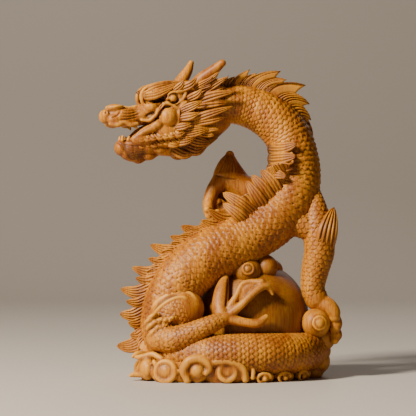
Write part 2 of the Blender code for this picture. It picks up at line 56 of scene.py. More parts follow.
CREASE = 0.22  # how far below its surroundings skin lies, in millimetres, to be painted in full shade
GOUGE = 0.8  # the depth of a gouge cut, in millimetres, that is painted in full shade
GRAZING = 0.12  # skin that faces the gouge by less than this cosine isn't cut
RING_SPACING = 0.64  # from ring to ring of the body

# Surfaces under work


@dataclass
class Shell:
    """A surface under work.

    Attributes:
        points: one row of x, y, z in millimetres for each vertex.
        quads: vertex numbers of the four-sided faces, turned outwards.
        tris: vertex numbers of the three-sided faces, turned outwards.
        painted_shading: for each vertex its painted shade or highlight, 1 in the deepest cut, 0 on plain
            ground, -1 on the sharpest edge.
    """

    points: np.ndarray
    quads: np.ndarray
    tris: np.ndarray
    painted_shading: np.ndarray

    def normals(self) -> np.ndarray:
        """Unit normals at the vertices: the sum of the crossed diagonals of the faces around."""
        total = np.zeros_like(self.points)
        p = self.points
        if len(self.quads):
            q = self.quads
            face = np.cross(p[q[:, 2]] - p[q[:, 0]], p[q[:, 3]] - p[q[:, 1]])
            for corner in range(4):
                total += sum_at(q[:, corner], face, len(p))
        if len(self.tris):
            t = self.tris
            face = np.cross(p[t[:, 1]] - p[t[:, 0]], p[t[:, 2]] - p[t[:, 0]])
            for corner in range(3):
                total += sum_at(t[:, corner], face, len(p))
        return total / np.maximum(np.linalg.norm(total, axis=1), 1e-12)[:, None]

    def edges(self) -> np.ndarray:
        """Vertex pairs along the faces' sides, each side of each face once."""
        q, t = self.quads, self.tris
        pairs = [q[:, [k, (k + 1) % 4]] for k in range(4)] + [t[:, [k, (k + 1) % 3]] for k in range(3)]
        return np.concatenate(pairs)

    def neighbour_mean(self, values: np.ndarray) -> np.ndarray:
        """The mean of values over each vertex's neighbours."""
        pairs = self.edges()
        count = np.bincount(pairs.ravel(), minlength=len(self.points)).astype(float)
        total = sum_at(pairs[:, 0], values[pairs[:, 1]], len(self.points))
        total += sum_at(pairs[:, 1], values[pairs[:, 0]], len(self.points))
        return total / np.maximum(count, 1).reshape(-1, *[1] * (values.ndim - 1))

    def smooth(self, rounds: int) -> None:
        """Evens the surface: each round steps towards the neighbours' mean, then a little back."""
        for _ in range(rounds):
            for step in (0.55, -0.45):
                self.points = self.points + step * (self.neighbour_mean(self.points) - self.points)

    def lift(self, height: np.ndarray, deep: float) -> None:
        """Moves each vertex along its normal.

        Args:
            height: how far in millimetres, negative for a cut.
            deep: the depth that is painted in full shade; raised skin is painted paler.
        """
        self.points = self.points + self.normals() * height[:, None]
        self.painted_shading = self.painted_shading - height / deep

    def shade_hollows(self, size: float, rounds: int) -> None:
        """Adds painted shade by how far each vertex lies below its neighbours' mean, and a painted highlight
        where it stands above it.

        Args:
            size: the distance in millimetres that is painted in full shade.
            rounds: how many rings of neighbours take part.
        """
        mean = self.points
        for _ in range(rounds):
            mean = self.neighbour_mean(mean)
        depth = np.einsum("ij,ij->i", mean - self.points, self.normals()) / size
        self.painted_shading = self.painted_shading + depth


def sum_at(index: np.ndarray, rows: np.ndarray, size: int) -> np.ndarray:
    """Sums rows that share an index.

    Args:
        index: where each row goes.
        rows: values, of one or more columns.
        size: the number of places.

    Returns:
        The sums, shaped as rows but with size places.
    """
    if rows.ndim == 1:
        return np.bincount(index, rows, size)
    return np.stack([np.bincount(index, rows[:, k], size) for k in range(rows.shape[1])], 1)


def join(shells: list[Shell]) -> Shell:
    """Lays several shells into one, without fusing them."""
    starts = np.cumsum([0] + [len(s.points) for s in shells])
    return Shell(
        np.concatenate([s.points for s in shells]),
        np.concatenate([s.quads + n for s, n in zip(shells, starts)]),
        np.concatenate([s.tris + n for s, n in zip(shells, starts)]),
        np.concatenate([s.painted_shading for s in shells]),
    )


def skin(rings: np.ndarray, painted_shading: np.ndarray | None = None) -> Shell:
    """A closed skin over rings of points, with a pole in the middle of each end ring.

    Args:
        rings: rings along the piece, points around each, turning right-handed along the piece.
        painted_shading: the painted shade or highlight for each point of the rings, or None.

    Returns:
        The skin, its faces outwards.
    """
    count, around, _ = rings.shape
    index = np.arange(count * around).reshape(count, around)
    turned = np.roll(index, -1, axis=1)
    quads = np.stack([index[:-1], turned[:-1], turned[1:], index[1:]], -1).reshape(-1, 4)
    first, last = count * around, count * around + 1
    start = np.stack([np.full(around, first), turned[0], index[0]], -1)
    end = np.stack([np.full(around, last), index[-1], turned[-1]], -1)
    points = np.concatenate([rings.reshape(-1, 3), rings[:1].mean(1), rings[-1:].mean(1)])
    if painted_shading is None:
        painted_shading = np.zeros((count, around))
    values = np.concatenate([painted_shading.ravel(), [painted_shading[0].mean(), painted_shading[-1].mean()]])
    return Shell(points, quads, np.concatenate([start, end]), values)


def circle(count: int) -> np.ndarray:
    """Evenly spaced angles round a circle, starting at nothing."""
    return np.linspace(0, 2 * math.pi, count, endpoint=False)


def columns_at(rows: np.ndarray, known: np.ndarray | list, values: np.ndarray) -> np.ndarray:
    """Each column of values, read between the known rows."""
    return np.stack([np.interp(rows, known, column) for column in values.T], -1)


def unit(vectors: np.ndarray | tuple[float, ...]) -> np.ndarray:
    """Vectors at length one, along the last axis."""
    vectors = np.asarray(vectors, float)
    return vectors / np.maximum(np.linalg.norm(vectors, axis=-1, keepdims=True), 1e-12)


def flowing(rows: np.ndarray | list, steps: int) -> np.ndarray:
    """A Catmull-Rom curve: a cubic through each row whose slope is half the step between its neighbours.

    Args:
        rows: the rows that the curve passes through, of any number of columns.
        steps: how many steps it takes from a row to the next.

    Returns:
        The curve's rows.
    """
    rows = np.asarray(rows, float)
    padded = np.vstack([2 * rows[0] - rows[1], rows, 2 * rows[-1] - rows[-2]])
    at = np.linspace(0, len(rows) - 1, (len(rows) - 1) * steps + 1)
    index = np.minimum(at.astype(int), len(rows) - 2)
    t = (at - index)[:, None]
    a, b, c, d = (padded[index + i] for i in range(4))
    cubic = (2 * a - 5 * b + 4 * c - d) * t**2 + (3 * b - a - 3 * c + d) * t**3
    return 0.5 * (2 * b + (c - a) * t + cubic)


def carried_frame(centres: np.ndarray, side: np.ndarray) -> tuple[np.ndarray, np.ndarray]:
    """The two directions across a path: each ring's side is squared to the path.

    Args:
        centres: the path's points.
        side: one direction, or one for each point, that the flat of the piece faces.

    Returns:
        The directions across and flat; across turned to flat is right-handed along the path.
    """
    along = unit(np.gradient(centres, axis=0))
    flat = np.broadcast_to(np.asarray(side, float), centres.shape)
    across = unit(np.cross(flat, along))
    return across, np.cross(along, across)


def rounded_ends(count: int) -> np.ndarray:
    """Quarter-circle angles from the pole to the ring, without either."""
    return math.pi / 2 * (np.arange(count) + 1) / (count + 1)


def loft(
    centres: np.ndarray, wide: np.ndarray, thin: np.ndarray, side: np.ndarray, sides: int = 20, ends: int = 5
) -> Shell:
    """An elliptical limb: each ring is the centre plus wide times cosine plus thin times sine.

    Args:
        centres: the middle line.
        wide: half widths across side.
        thin: half widths along side.
        side: the direction that the flat faces.
        sides: points around.
        ends: rings in each rounded end.

    Returns:
        The closed limb.
    """
    centres = np.asarray(centres, float)
    wide = np.broadcast_to(np.asarray(wide, float), len(centres))
    thin = np.broadcast_to(np.asarray(thin, float), len(centres))
    across, flat = carried_frame(centres, side)
    along = np.cross(across, flat)
    lean = rounded_ends(ends)
    low, high = min(wide[0], thin[0]), min(wide[-1], thin[-1])
    push = np.concatenate([-low * np.cos(lean), np.zeros(len(centres)), high * np.cos(lean[::-1])])
    scale = np.concatenate([np.sin(lean), np.ones(len(centres)), np.sin(lean[::-1])])
    row = np.concatenate([np.zeros(ends, int), np.arange(len(centres)), np.full(ends, len(centres) - 1)])
    turn = circle(sides)
    rings = (
        (centres[row] + along[row] * push[:, None])[:, None, :]
        + across[row][:, None, :] * (np.cos(turn) * (wide[row] * scale)[:, None])[..., None]
        + flat[row][:, None, :] * (np.sin(turn) * (thin[row] * scale)[:, None])[..., None]
    )
    return skin(rings)


def limb(rows: list | np.ndarray, steps: int = 8, sides: int = 24) -> Shell:
    """A round limb through rows of x, y, z and radius."""
    path = flowing(rows, steps)
    side = unit(np.cross(path[-1, :3] - path[0, :3], (0.13, 0.31, 0.94)))
    return loft(path[:, :3], path[:, 3], path[:, 3], side, sides)


def blade(rows: list | np.ndarray, thickness: float, side: tuple | np.ndarray, steps: int) -> Shell:
    """A flat tapering blade through rows of x, y, z and half width."""
    path = flowing(rows, steps)
    share = np.linspace(0, 1, len(path))
    thin = np.minimum(thickness * (1 - 0.55 * share), path[:, 3])
    return loft(path[:, :3], path[:, 3], thin, np.asarray(side, float), 20)


def ball(
    centre: tuple | np.ndarray, radii: float | tuple, axes: np.ndarray | None = None, fine: int = 32
) -> Shell:
    """An ellipsoid: rings of latitude, each point the axes times the radii.

    Args:
        centre: its middle.
        radii: one radius, or three along the axes.
        axes: three unit rows, or None for X, Y and Z.
        fine: points around.

    Returns:
        The closed ball.
    """
    radii = np.broadcast_to(np.asarray(radii, float), 3)
    axes = np.eye(3) if axes is None else np.asarray(axes, float)
    height = np.linspace(-math.pi / 2, math.pi / 2, fine // 2 + 1)[1:-1]
    turn = circle(fine)
    rings = np.stack(
        [
            np.cos(height)[:, None] * np.cos(turn),
            np.cos(height)[:, None] * np.sin(turn),
            np.broadcast_to(np.sin(height)[:, None], (len(height), fine)),
        ],
        -1,
    )
    return skin(np.asarray(centre, float) + (rings * radii) @ axes)


def leaf(
    rows: np.ndarray, half: float, thickness: float, grooves: int, side: np.ndarray, point: float = 0.95
) -> Shell:
    """A pointed leaf with grooves from root to tip: its thickness dips at even steps of its width.

    Half its width is half times the sine that peaks near the root and falls to nothing at the tip.

    Args:
        rows: root, middle and tip.
        half: half its greatest width.
        thickness: half its thickness at the root.
        grooves: how many grooves each face has.
        side: the way that the leaf's face looks.
        point: how pointed it is; a low value keeps its width until near the tip.

    Returns:
        The closed leaf.
    """
    path = flowing(rows, 10)
    around = 12 * grooves
    share = np.linspace(0, 1, len(path))
    wide = half * np.sin(np.pi * (0.30 + 0.70 * share)) ** point + 0.12
    thin = thickness * (1 - 0.7 * share) + 0.05
    across, flat = carried_frame(path, side)
    turn = circle(around)
    place_across = np.cos(turn)
    dip = np.abs(np.cos(np.pi * (place_across + 1) / 2 * grooves)) ** 3
    dip = dip * np.clip((1 - np.abs(place_across)) * 5, 0, 1)
    thick = thin[:, None] * np.sin(turn) * (1 - 0.62 * dip * np.clip(share * 8, 0, 1)[:, None])
    rings = (
        path[:, None, :]
        + across[:, None, :] * (wide[:, None] * place_across)[..., None]
        + flat[:, None, :] * thick[..., None]
    )
    # painted shade in the grooves, along the edges and at the root, and a faint painted highlight elsewhere
    rim = np.clip((np.abs(place_across) - 0.9) * 9, 0, 1)
    painted_shading = 1.5 * dip**1.5 - 0.35 + 0.9 * rim + np.clip(0.8 - 5 * share, 0, 1)[:, None]
    return skin(rings, np.broadcast_to(painted_shading, thick.shape))


def facing_axes(normal: tuple) -> np.ndarray:
    """Three unit rows for a face that looks along normal: level across it, up it, and out of it."""
    out = unit(normal)
    first = unit(np.cross((0.0, 0.0, 1.0), out))
    return np.array([first, np.cross(out, first), out])


def winding(centre: tuple, axes: np.ndarray, reach: float | np.ndarray, angle: np.ndarray) -> np.ndarray:
    """Points round a centre in the plane of the first two axes, each at its reach and angle."""
    return np.asarray(centre) + np.column_stack([reach * np.cos(angle), reach * np.sin(angle)]) @ axes[:2]


def ring(centre: tuple, normal: tuple, radius: float, roll: float, boss: float) -> list[Shell]:
    """A closed roll round a low boss, both lying on a cloud's face and facing along normal."""
    axes = facing_axes(normal)
    path = winding(centre, axes, radius, np.linspace(0, 2 * math.pi, 49))
    return [loft(path, roll, roll, axes[2], 12), ball(centre, (boss, boss, boss * 0.6), axes)]


def swirl(centre: tuple, normal: tuple, radius: float, turns: float, boss: float) -> list[Shell]:
    """A cloud scroll: a roll that winds inwards, radius shrinking evenly with the angle, and a boss.

    Args:
        centre: its middle, on the cloud's face.
        normal: the way it faces.
        radius: the outer radius of the roll's middle line.
        turns: how often it winds; below zero it winds the other way.
        boss: the radius of the knob in the middle.

    Returns:
        The roll and the boss.
    """
    axes = facing_axes(normal)
    share = np.linspace(0, 1, 56)
    path = winding(centre, axes, radius * (1 - 0.62 * share), share * turns * 2 * math.pi)
    roll = radius * (0.27 - 0.13 * share)
    return [loft(path, roll, roll, axes[2], 14), ball(centre, boss)]


def fuse(name: str, shells: list[Shell], voxel: float, rounds: int) -> Shell:
    """Fuses closed shells into one skin with Blender's voxel remesh, then evens it.

    Args:
        name: a name for the draft object.
        shells: what to fuse.
        voxel: the size of a cell in millimetres.
        rounds: how many rounds of smoothing follow.

    Returns:
        The fused skin, with painted shade in its hollows.
    """
    draft = bpy.data.objects.new(name + "_draft", mesh_of(name + "_draft", join(shells)))
    bpy.context.scene.collection.objects.link(draft)
    remesh = draft.modifiers.new("fuse", "REMESH")
    remesh.mode = "VOXEL"
    remesh.voxel_size = voxel * MM
    graph = bpy.context.evaluated_depsgraph_get()
    graph.update()
    shown = draft.evaluated_get(graph).to_mesh()
    points = np.empty(len(shown.vertices) * 3, np.float32)
    shown.vertices.foreach_get("co", points)
    corners = np.empty(len(shown.loops), np.int32)
    shown.loops.foreach_get("vertex_index", corners)
    sizes = np.empty(len(shown.polygons), np.int32)
    shown.polygons.foreach_get("loop_total", sizes)
    starts = np.concatenate([[0], np.cumsum(sizes)[:-1]])
    quads = corners[starts[sizes == 4][:, None] + np.arange(4)]
    tris = corners[starts[sizes == 3][:, None] + np.arange(3)]
    draft.evaluated_get(graph).to_mesh_clear()
    old = draft.data
    bpy.data.objects.remove(draft)
    bpy.data.meshes.remove(old)
    shell = Shell(points.reshape(-1, 3).astype(float) / MM, quads, tris, np.zeros(len(points) // 3))
    shell.smooth(rounds)
    shell.shade_hollows(CREASE, 3)
    return shell


def mesh_of(name: str, shell: Shell) -> bpy.types.Mesh:
    """The shell as a Blender mesh in metres, smooth shaded, with its attribute of painted shade and
    highlight.
    """
    mesh = bpy.data.meshes.new(name)
    sizes = np.concatenate([np.full(len(shell.quads), 4), np.full(len(shell.tris), 3)])
    corners = np.concatenate([shell.quads.ravel(), shell.tris.ravel()]).astype(np.int32)
    starts = np.concatenate([[0], np.cumsum(sizes)[:-1]]).astype(np.int32)
    mesh.vertices.add(len(shell.points))
    mesh.vertices.foreach_set("co", (shell.points * MM).astype(np.float32).ravel())
    mesh.loops.add(len(corners))
    mesh.loops.foreach_set("vertex_index", corners)
    mesh.polygons.add(len(sizes))
    mesh.polygons.foreach_set("loop_start", starts)
    mesh.update(calc_edges=True)
    mesh.polygons.foreach_set("use_smooth", np.ones(len(sizes), bool))
    attribute = mesh.attributes.new("painted_shading", "FLOAT", "POINT")
    attribute.data.foreach_set("value", np.clip(shell.painted_shading, -1, 1).astype(np.float32))
    return mesh


def place(name: str, shell: Shell, finish: Boxwood) -> bpy.types.Object:
    """Makes the shell a piece of the figure.

    Args:
        name: the piece's name.
        shell: its surface.
        finish: the wood that it is dressed in.

    Returns:
        The object, riding on the carving's body and standing for its node.
    """
    piece = bpy.data.objects.new(name, mesh_of(name, shell))
    bpy.context.scene.collection.objects.link(piece)
    piece.data.materials.append(finish.material())
    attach(piece, BODY)
    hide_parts(CAD_NODE)
    count = 2 * len(shell.quads) + len(shell.tris)
    LOG.info("%s: %d triangles", name, count)
    return piece


# Chisel work on a finished skin


def to_path(points: np.ndarray, path: np.ndarray) -> tuple[np.ndarray, np.ndarray, np.ndarray]:
    """How points lie against a path of straight stretches.

    Args:
        points: where to measure.
        path: the path's points.

    Returns:
        For each point its distance, the number of the nearest stretch, and how far along it, 0 to 1.
    """
    best = np.full(len(points), np.inf)
    which = np.zeros(len(points), int)
    share = np.zeros(len(points))
    for k in range(len(path) - 1):
        step = path[k + 1] - path[k]
        t = np.clip((points - path[k]) @ step / max(step @ step, 1e-12), 0, 1)
        distance = np.linalg.norm(points - path[k] - t[:, None] * step, axis=1)
        nearer = distance < best
        best = np.where(nearer, distance, best)
        which = np.where(nearer, k, which)
        share = np.where(nearer, t, share)
    return best, which, share


@dataclass(frozen=True)
class Cut:
    """A run of the gouge over the skin, through points; a negative depth leaves a ridge.

    Attributes:
        path: the points that it passes over.
        width: half the width of the cut.
        depth: how deep it is.
    """

    path: np.ndarray
    width: float
    depth: float


def chisel(shell: Shell, cuts: list[Cut], facing: np.ndarray | None = None) -> None:
    """Cuts grooves: each vertex sinks by depth times one less its distance over the width, squared.

    Args:
        shell: the skin that is cut.
        cuts: the runs of the gouge.
        facing: the side that the cuts are laid on from, where only skin that faces it is cut, or None
            for cuts whose points lie on the skin.
    """
    normals = shell.normals()
    height = np.zeros(len(shell.points))
    for cut in cuts:
        flat = np.zeros((3, 3)) if facing is None else np.outer(facing, facing)
        seen, path = shell.points - shell.points @ flat, cut.path - cut.path @ flat
        low, high = path.min(0) - cut.width, path.max(0) + cut.width
        near = np.all((seen > low) & (seen < high), axis=1)
        if facing is not None:
            near &= normals @ facing > GRAZING
        index = np.nonzero(near)[0]
        if not len(index):
            continue
        distance, which, share = to_path(seen[index], path)
        along = (which + share) / (len(cut.path) - 1)
        ends = np.minimum(1, np.minimum(along, 1 - along) * 6 + 0.15)
        shape = np.clip(1 - (distance / cut.width) ** 2, 0, 1) ** 1.5
        height[index] = np.where(
            np.abs(shape * cut.depth * ends) > np.abs(height[index]), -cut.depth * shape * ends, height[index]
        )
    shell.lift(height, GOUGE)


def fish_scales(across: np.ndarray, along: np.ndarray) -> tuple[np.ndarray, np.ndarray]:
    """Height and shade of overlapping scales whose free ends point along.

    A row's scales are one unit wide and start one unit after the last row's, half a unit aside. Each
    ends in a half ellipse, two units long in the middle and one at the sides. The scale that shows
    is the first row's that still reaches the point. It rises from where it comes out under the
    scales before it, at height 0, to its own rim, at height 1.

    Args:
        across: place across the rows, in scale widths.
        along: place along the rows, in rows.

    Returns:
        The height at each place, and how near it is to the rim that covers it, 0 to 1.
    """
    shape = np.broadcast(across, along).shape
    height, found, past = np.zeros(shape), np.zeros(shape, bool), np.full(shape, 1.0)
    for back in (2, 1, 0):
        row = np.floor(along) - back
        aside = across + 0.5 * np.mod(row, 2)
        x = 2 * (aside - np.floor(aside) - 0.5)
        y = along - row
        reach = 1 + np.sqrt(np.clip(1 - x**2, 0, 1))
        shows = (y <= reach) & ~found
        share = past / (past + reach - y + 1e-6)
        height = np.where(shows, share**0.8, height)
        found |= shows
        past = np.where(found, past, np.minimum(past, y - reach))
    return height, np.exp(-((past / 0.16) ** 2))


def lay_scales(
    shell: Shell, across: np.ndarray, along: np.ndarray, mask: np.ndarray,
    relief: float, root: float, shade: float,
) -> None:
    """Lifts skin into overlapping scales, with painted shade on what their rims cover and a paler painted
    highlight up to each rim.

    Args:
        shell: the skin.
        across: each vertex's place across the rows, in scale widths.
        along: its place along the rows, in rows.
        mask: where there are scales, 0 to 1.
        relief: height of a scale's rim.
        root: the share of the relief that is cut away all over.
        shade: how much painted shade the skin under a rim gets.
    """
    scales, under = fish_scales(across, along)
    shell.lift((scales - root - 0.3 * under) * relief * mask, relief * 2)
    # painted shade under each rim, and a painted highlight that rises towards the rim
    shell.painted_shading = shell.painted_shading + (shade * under - 0.2 * scales) * mask


# The wood


def linear(code: str) -> tuple[float, float, float, float]:
    """A colour code such as #c58338 as linear red, green, blue and one for alpha."""
    parts = [int(code[k : k + 2], 16) / 255 for k in (1, 3, 5)]
    curve = [c / 12.92 if c <= 0.04045 else ((c + 0.055) / 1.055) ** 2.4 for c in parts]
    return (curve[0], curve[1], curve[2], 1.0)


def add(tree: bpy.types.NodeTree, kind: str, settings: dict, links: dict) -> bpy.types.Node:
    """Adds a node.

    Args:
        tree: the tree that gets it.
        kind: Blender's name of the node type.
        settings: properties by name, and socket values by the socket's name or number.
        links: output sockets by the name or number of the input that each feeds.

    Returns:
        The node.
    """
    node = tree.nodes.new(kind)
    for name, value in settings.items():
        if isinstance(name, str) and hasattr(node, name):
            setattr(node, name, value)
        else:
            node.inputs[name].default_value = value
    for name, socket in links.items():
        tree.links.new(socket, node.inputs[name])
    return node


@dataclass(frozen=True)
class Boxwood:
    """Boxwood, carved with gouges, sanded fine and rubbed to a satin.

    Oiling turns it honey and amber. Painted shade darkens it in the cuts, hollows and shaded places, and a
    paler painted highlight lies on raised rims and edges. Its fibres run up the figure as fine streaks, with
    soft growth bands across.
    """

    honey: str = "#c4861c"
    amber: str = "#985a0c"
    # the colour of the painted shade in cuts, hollows and shaded places
    dark: str = "#2c1004"
    # the colour of the painted highlight on raised rims and edges
    pale: str = "#dc9d30"
    fibre: str = "#d2a878"  # what a dark fibre multiplies the wood's colour by
    streak: float = 0.75  # width of a fibre streak, as coarse as the render can show
    band: float = 9.0  # width of a growth band
    run: float = 26.0  # length of a streak along the grain
    roughness: float = 0.5
    specular: float = 0.36
    coat: float = 0.02

    def material(self) -> bpy.types.Material:
        """The wood as a material, made once."""
        found = bpy.data.materials.get("oiled_boxwood")
        if found:
            return found
        made = bpy.data.materials.new("oiled_boxwood")
        made.use_nodes = True
        tree = made.node_tree
        shader = tree.nodes["Principled BSDF"]
        fibre = self.noise(tree, self.streak, self.run, (0.0, 0.0, 0.0), 4.0, 0.6)
        band = self.noise(tree, self.band, 6 * self.band, (0.12, 0.2, 0.5), 2.0, 0.5)
        painted_shading = add(tree, "ShaderNodeAttribute", {"attribute_name": "painted_shading"}, {}).outputs["Fac"]
        body = self.mix(tree, linear(self.amber), self.honey, self.ramp(tree, band, 0.36, 0.64))
        streaked = self.mix(tree, body, self.fibre, self.ramp(tree, fibre, 0.62, 0.36), "MULTIPLY")
        # painted highlight where the painted shading is below nothing, painted shade where it is above
        with_highlight = self.mix(tree, streaked, self.pale, self.ramp(tree, painted_shading, -0.15, -1.3))
        with_shade = self.mix(tree, with_highlight, self.dark, self.ramp(tree, painted_shading, 0.1, 1.25))
        tree.links.new(with_shade, shader.inputs["Base Color"])
        shine = {1: 0.3, 2: 0.7, 3: self.roughness - 0.05, 4: self.roughness + 0.09}
        gloss = add(tree, "ShaderNodeMapRange", shine, {0: fibre})
        tree.links.new(gloss.outputs[0], shader.inputs["Roughness"])
        relief = add(tree, "ShaderNodeBump", {"Strength": 0.25, "Distance": 0.12 * MM}, {"Height": fibre})
        tree.links.new(relief.outputs[0], shader.inputs["Normal"])
        shader.inputs["IOR"].default_value = 1.5
        shader.inputs["Specular IOR Level"].default_value = self.specular
        shader.inputs["Coat Weight"].default_value = self.coat
        shader.inputs["Coat Roughness"].default_value = 0.3
        return made

    @staticmethod
    def noise(
        tree: bpy.types.NodeTree, across: float, along: float, tilt: tuple, detail: float, rough: float
    ) -> bpy.types.NodeSocket:
        """Noise drawn out along the grain.

        Args:
            tree: the material's tree.
            across: the noise's size across the grain in millimetres.
            along: its size along the grain.
            tilt: how the grain leans, in radians about X, Y and Z.
            detail: how many finer layers the noise has.
            rough: how strong they are.

        Returns:
            The socket that gives the noise.
        """
        place_at = add(tree, "ShaderNodeTexCoord", {}, {}).outputs["Object"]
        scale = (1 / (across * MM), 1 / (across * MM), 1 / (along * MM))
        drawn = add(tree, "ShaderNodeMapping", {"Scale": scale, "Rotation": tilt}, {"Vector": place_at})
        settings = {"Scale": 1.0, "Detail": detail, "Roughness": rough}
        return add(tree, "ShaderNodeTexNoise", settings, {"Vector": drawn.outputs[0]}).outputs[0]

    @staticmethod
    def mix(
        tree: bpy.types.NodeTree, under: tuple | bpy.types.NodeSocket, over: str, share: bpy.types.NodeSocket,
        blend: str = "MIX",
    ) -> bpy.types.NodeSocket:
        """Lays a colour over another by a share; under is a plain colour or a socket."""
        plain = isinstance(under, tuple)
        settings = {"data_type": "RGBA", "blend_type": blend, 7: linear(over)} | ({6: under} if plain else {})
        return add(tree, "ShaderNodeMix", settings, {0: share} | ({} if plain else {6: under})).outputs[2]

    @staticmethod
    def ramp(
        tree: bpy.types.NodeTree, source: bpy.types.NodeSocket, low: float, high: float
    ) -> bpy.types.NodeSocket:
        """The source stretched so that low becomes 0 and high becomes 1, clamped."""
        return add(tree, "ShaderNodeMapRange", {1: low, 2: high, 3: 0.0, 4: 1.0}, {0: source}).outputs[0]


# The body: spine, scales and crests


SPINE = [
    (-21.5, -6, 166.5, 9.5), (-10, -4, 170.5, 11.5), (4.5, -2, 172, 12.3), (18.5, 0, 170, 13.3),
    (31.5, 0, 163.5, 14.2), (41.5, 0, 153, 14.8), (46.5, -1, 139, 15.2), (47.5, -2, 124, 15.8),
    (43, -4, 110, 16.4), (31.5, -6, 97.5, 16.6), (16, -8, 87.5, 16.6), (1, -11, 80, 17),
    (-13, -13, 72, 17), (-25, -14, 60.5, 16.6), (-32.5, -13, 47, 16), (-35, -12, 33, 15.5),
    (-31.5, -18, 22, 14.5), (-21.5, -28, 16.5, 13.5), (-6.5, -35, 16, 13), (11.5, -37, 17, 12.6),
    (31.5, -33, 17, 12.5), (49, -20, 16.5, 12.3), (57, 2, 16, 12), (50, 26, 16, 11.5),
    (31, 41, 17, 11), (9, 44, 20, 10.2), (-8, 41, 28, 9.2), (-17, 37, 40, 8), (-16, 34, 53, 6.6),
    (-8, 33, 64, 5), (1, 33, 71, 3.4),
]
NECK_ROOT = {
    1: (0.0, -0.2, 1.0), 2: (0.05, -0.2, 1.0), 3: (0.3, -0.2, 0.95), 4: (0.6, -0.15, 0.8),
    4.6: (0.85, 0.1, 0.5), 5.2: (0.9, 0.35, 0.25), 6: (0.7, 0.7, 0.1), 7.4: (0.75, 0.65, -0.1),
}
BACK_ROOT = {
    5.4: (-0.78, -0.62, 0.0), 6.4: (-0.7, -0.7, 0.05), 7.0: (-0.45, -0.88, 0.1),
    7.6: (-0.5, -0.83, 0.2), 8.5: (-0.6, -0.55, 0.57), 9.5: (-0.47, -0.2, 0.86),
    11: (-0.5, -0.1, 0.87), 12: (-0.62, -0.1, 0.78), 13: (-0.82, -0.1, 0.57),
    14: (-0.96, -0.1, 0.28), 15: (-1.0, -0.05, 0.0), 16: (-0.95, -0.05, -0.35),
    17: (-0.7, -0.3, -0.5),
}
TAIL_ROOT = {
    23: (0.6, 0.6, 0.5), 24: (0.3, 0.8, 0.5), 25: (0.0, 0.95, 0.3), 26: (-0.5, 0.85, 0.0),
    27: (-0.8, 0.5, 0.0), 28: (-0.9, 0.3, 0.3), 30: (-0.6, 0.4, 0.6),
}
# Where the crest of the back folds over beside the throat, it rises another way than its root
BACK_FOLD = {
    5.4: (0.8, -0.6, 0.0), 6.3: (0.65, -0.75, 0.05), 6.8: (0.2, -0.85, 0.4),
    7.4: (-0.45, -0.45, 0.77), 8.0: (-0.35, -0.2, 0.9), 8.6: (-0.15, -0.15, 0.97),
    9.4: (-0.35, -0.15, 0.92),
}
# Spikes: the row over which the tip stands, its height off the skin, the notch behind it, grooves
NECK_SPIKES = [
    (2.0, 5.8, 3.5, 2), (2.2, 5.1, 3.0, 1), (2.65, 10.4, 6.1, 4), (2.9, 8.8, 7.5, 2), (3.5, 15, 10, 7),
    (3.75, 11.7, 9, 3), (4.2, 15.6, 7.9, 6), (4.58, 9.2, 5.2, 4), (4.98, 4.6, 3.0, 4), (5.6, 2.0, 1.2, 4),
    (6.4, 2.4, 1.2, 5), (7.1, 2.6, 1.0, 4),
]
BACK_SPIKES = [
    (5.6, 11.5, 9.5, 3), (6.0, 11.5, 9.5, 3), (6.45, 11, 9, 3), (6.85, 10.4, 9, 3), (7.25, 13, 12, 4),
    (7.7, 15, 14, 5), (8.2, 15.5, 14, 6), (8.65, 13.5, 11, 5), (9.2, 10.5, 8, 5), (9.9, 8, 5, 5),
    *((10.3 + 0.34 * k, 4.6, 3.4, 4) for k in range(17)),
]
TAIL_SPIKES = [(23.2 + 0.6 * k, 6.4 if k % 2 else 4.8, 2.6, 3) for k in range(10)]


def way_at(ways: dict[float, tuple], rows: np.ndarray) -> np.ndarray:
    """Directions between those given at some rows of SPINE, at length one."""
    keys = sorted(ways)
    return unit(columns_at(rows, keys, np.array([ways[key] for key in keys], float)))


class Spine:
    """The body's middle line, evenly divided, with a frame carried along it without twist."""

    def __init__(self, spacing: float) -> None:
        """Divides the spine into rings.

        Args:
            spacing: the distance from ring to ring in millimetres.
        """
        steps = 24
        fine = flowing(SPINE, steps)
        length = np.concatenate([[0], np.cumsum(np.linalg.norm(np.diff(fine[:, :3], axis=0), axis=1))])
        at = np.linspace(0, length[-1], int(length[-1] / spacing) + 1)
        self.row = np.interp(at, length, np.arange(len(fine)) / steps)
        line = columns_at(at, length, fine)
        self.length, self.centre, self.radius = at, line[:, :3], line[:, 3]
        self.along = unit(np.gradient(self.centre, axis=0))
        self.across = self.carry(TO_VIEWER)
        self.flat = np.cross(self.along, self.across)

    def carry(self, start: np.ndarray) -> np.ndarray:
        """A direction carried along: at each ring it is squared to the line again."""
        carried, way = [], start
        for along in self.along:
            way = way - along * (way @ along)
            way = way / np.linalg.norm(way)
            carried.append(way)
        return np.array(carried)

    def at(self, rows: np.ndarray) -> tuple[np.ndarray, np.ndarray, np.ndarray]:
        """Centres, radii and directions at rows of SPINE."""
        centre, along = (columns_at(rows, self.row, values) for values in (self.centre, self.along))
        return centre, np.interp(rows, self.row, self.radius), unit(along)

    def outward(self, turn: np.ndarray) -> np.ndarray:
        """Unit directions off the middle line, for each ring and each angle around it."""
        return self.across[:, None, :] * np.cos(turn)[:, None] + self.flat[:, None, :] * np.sin(turn)[:, None]


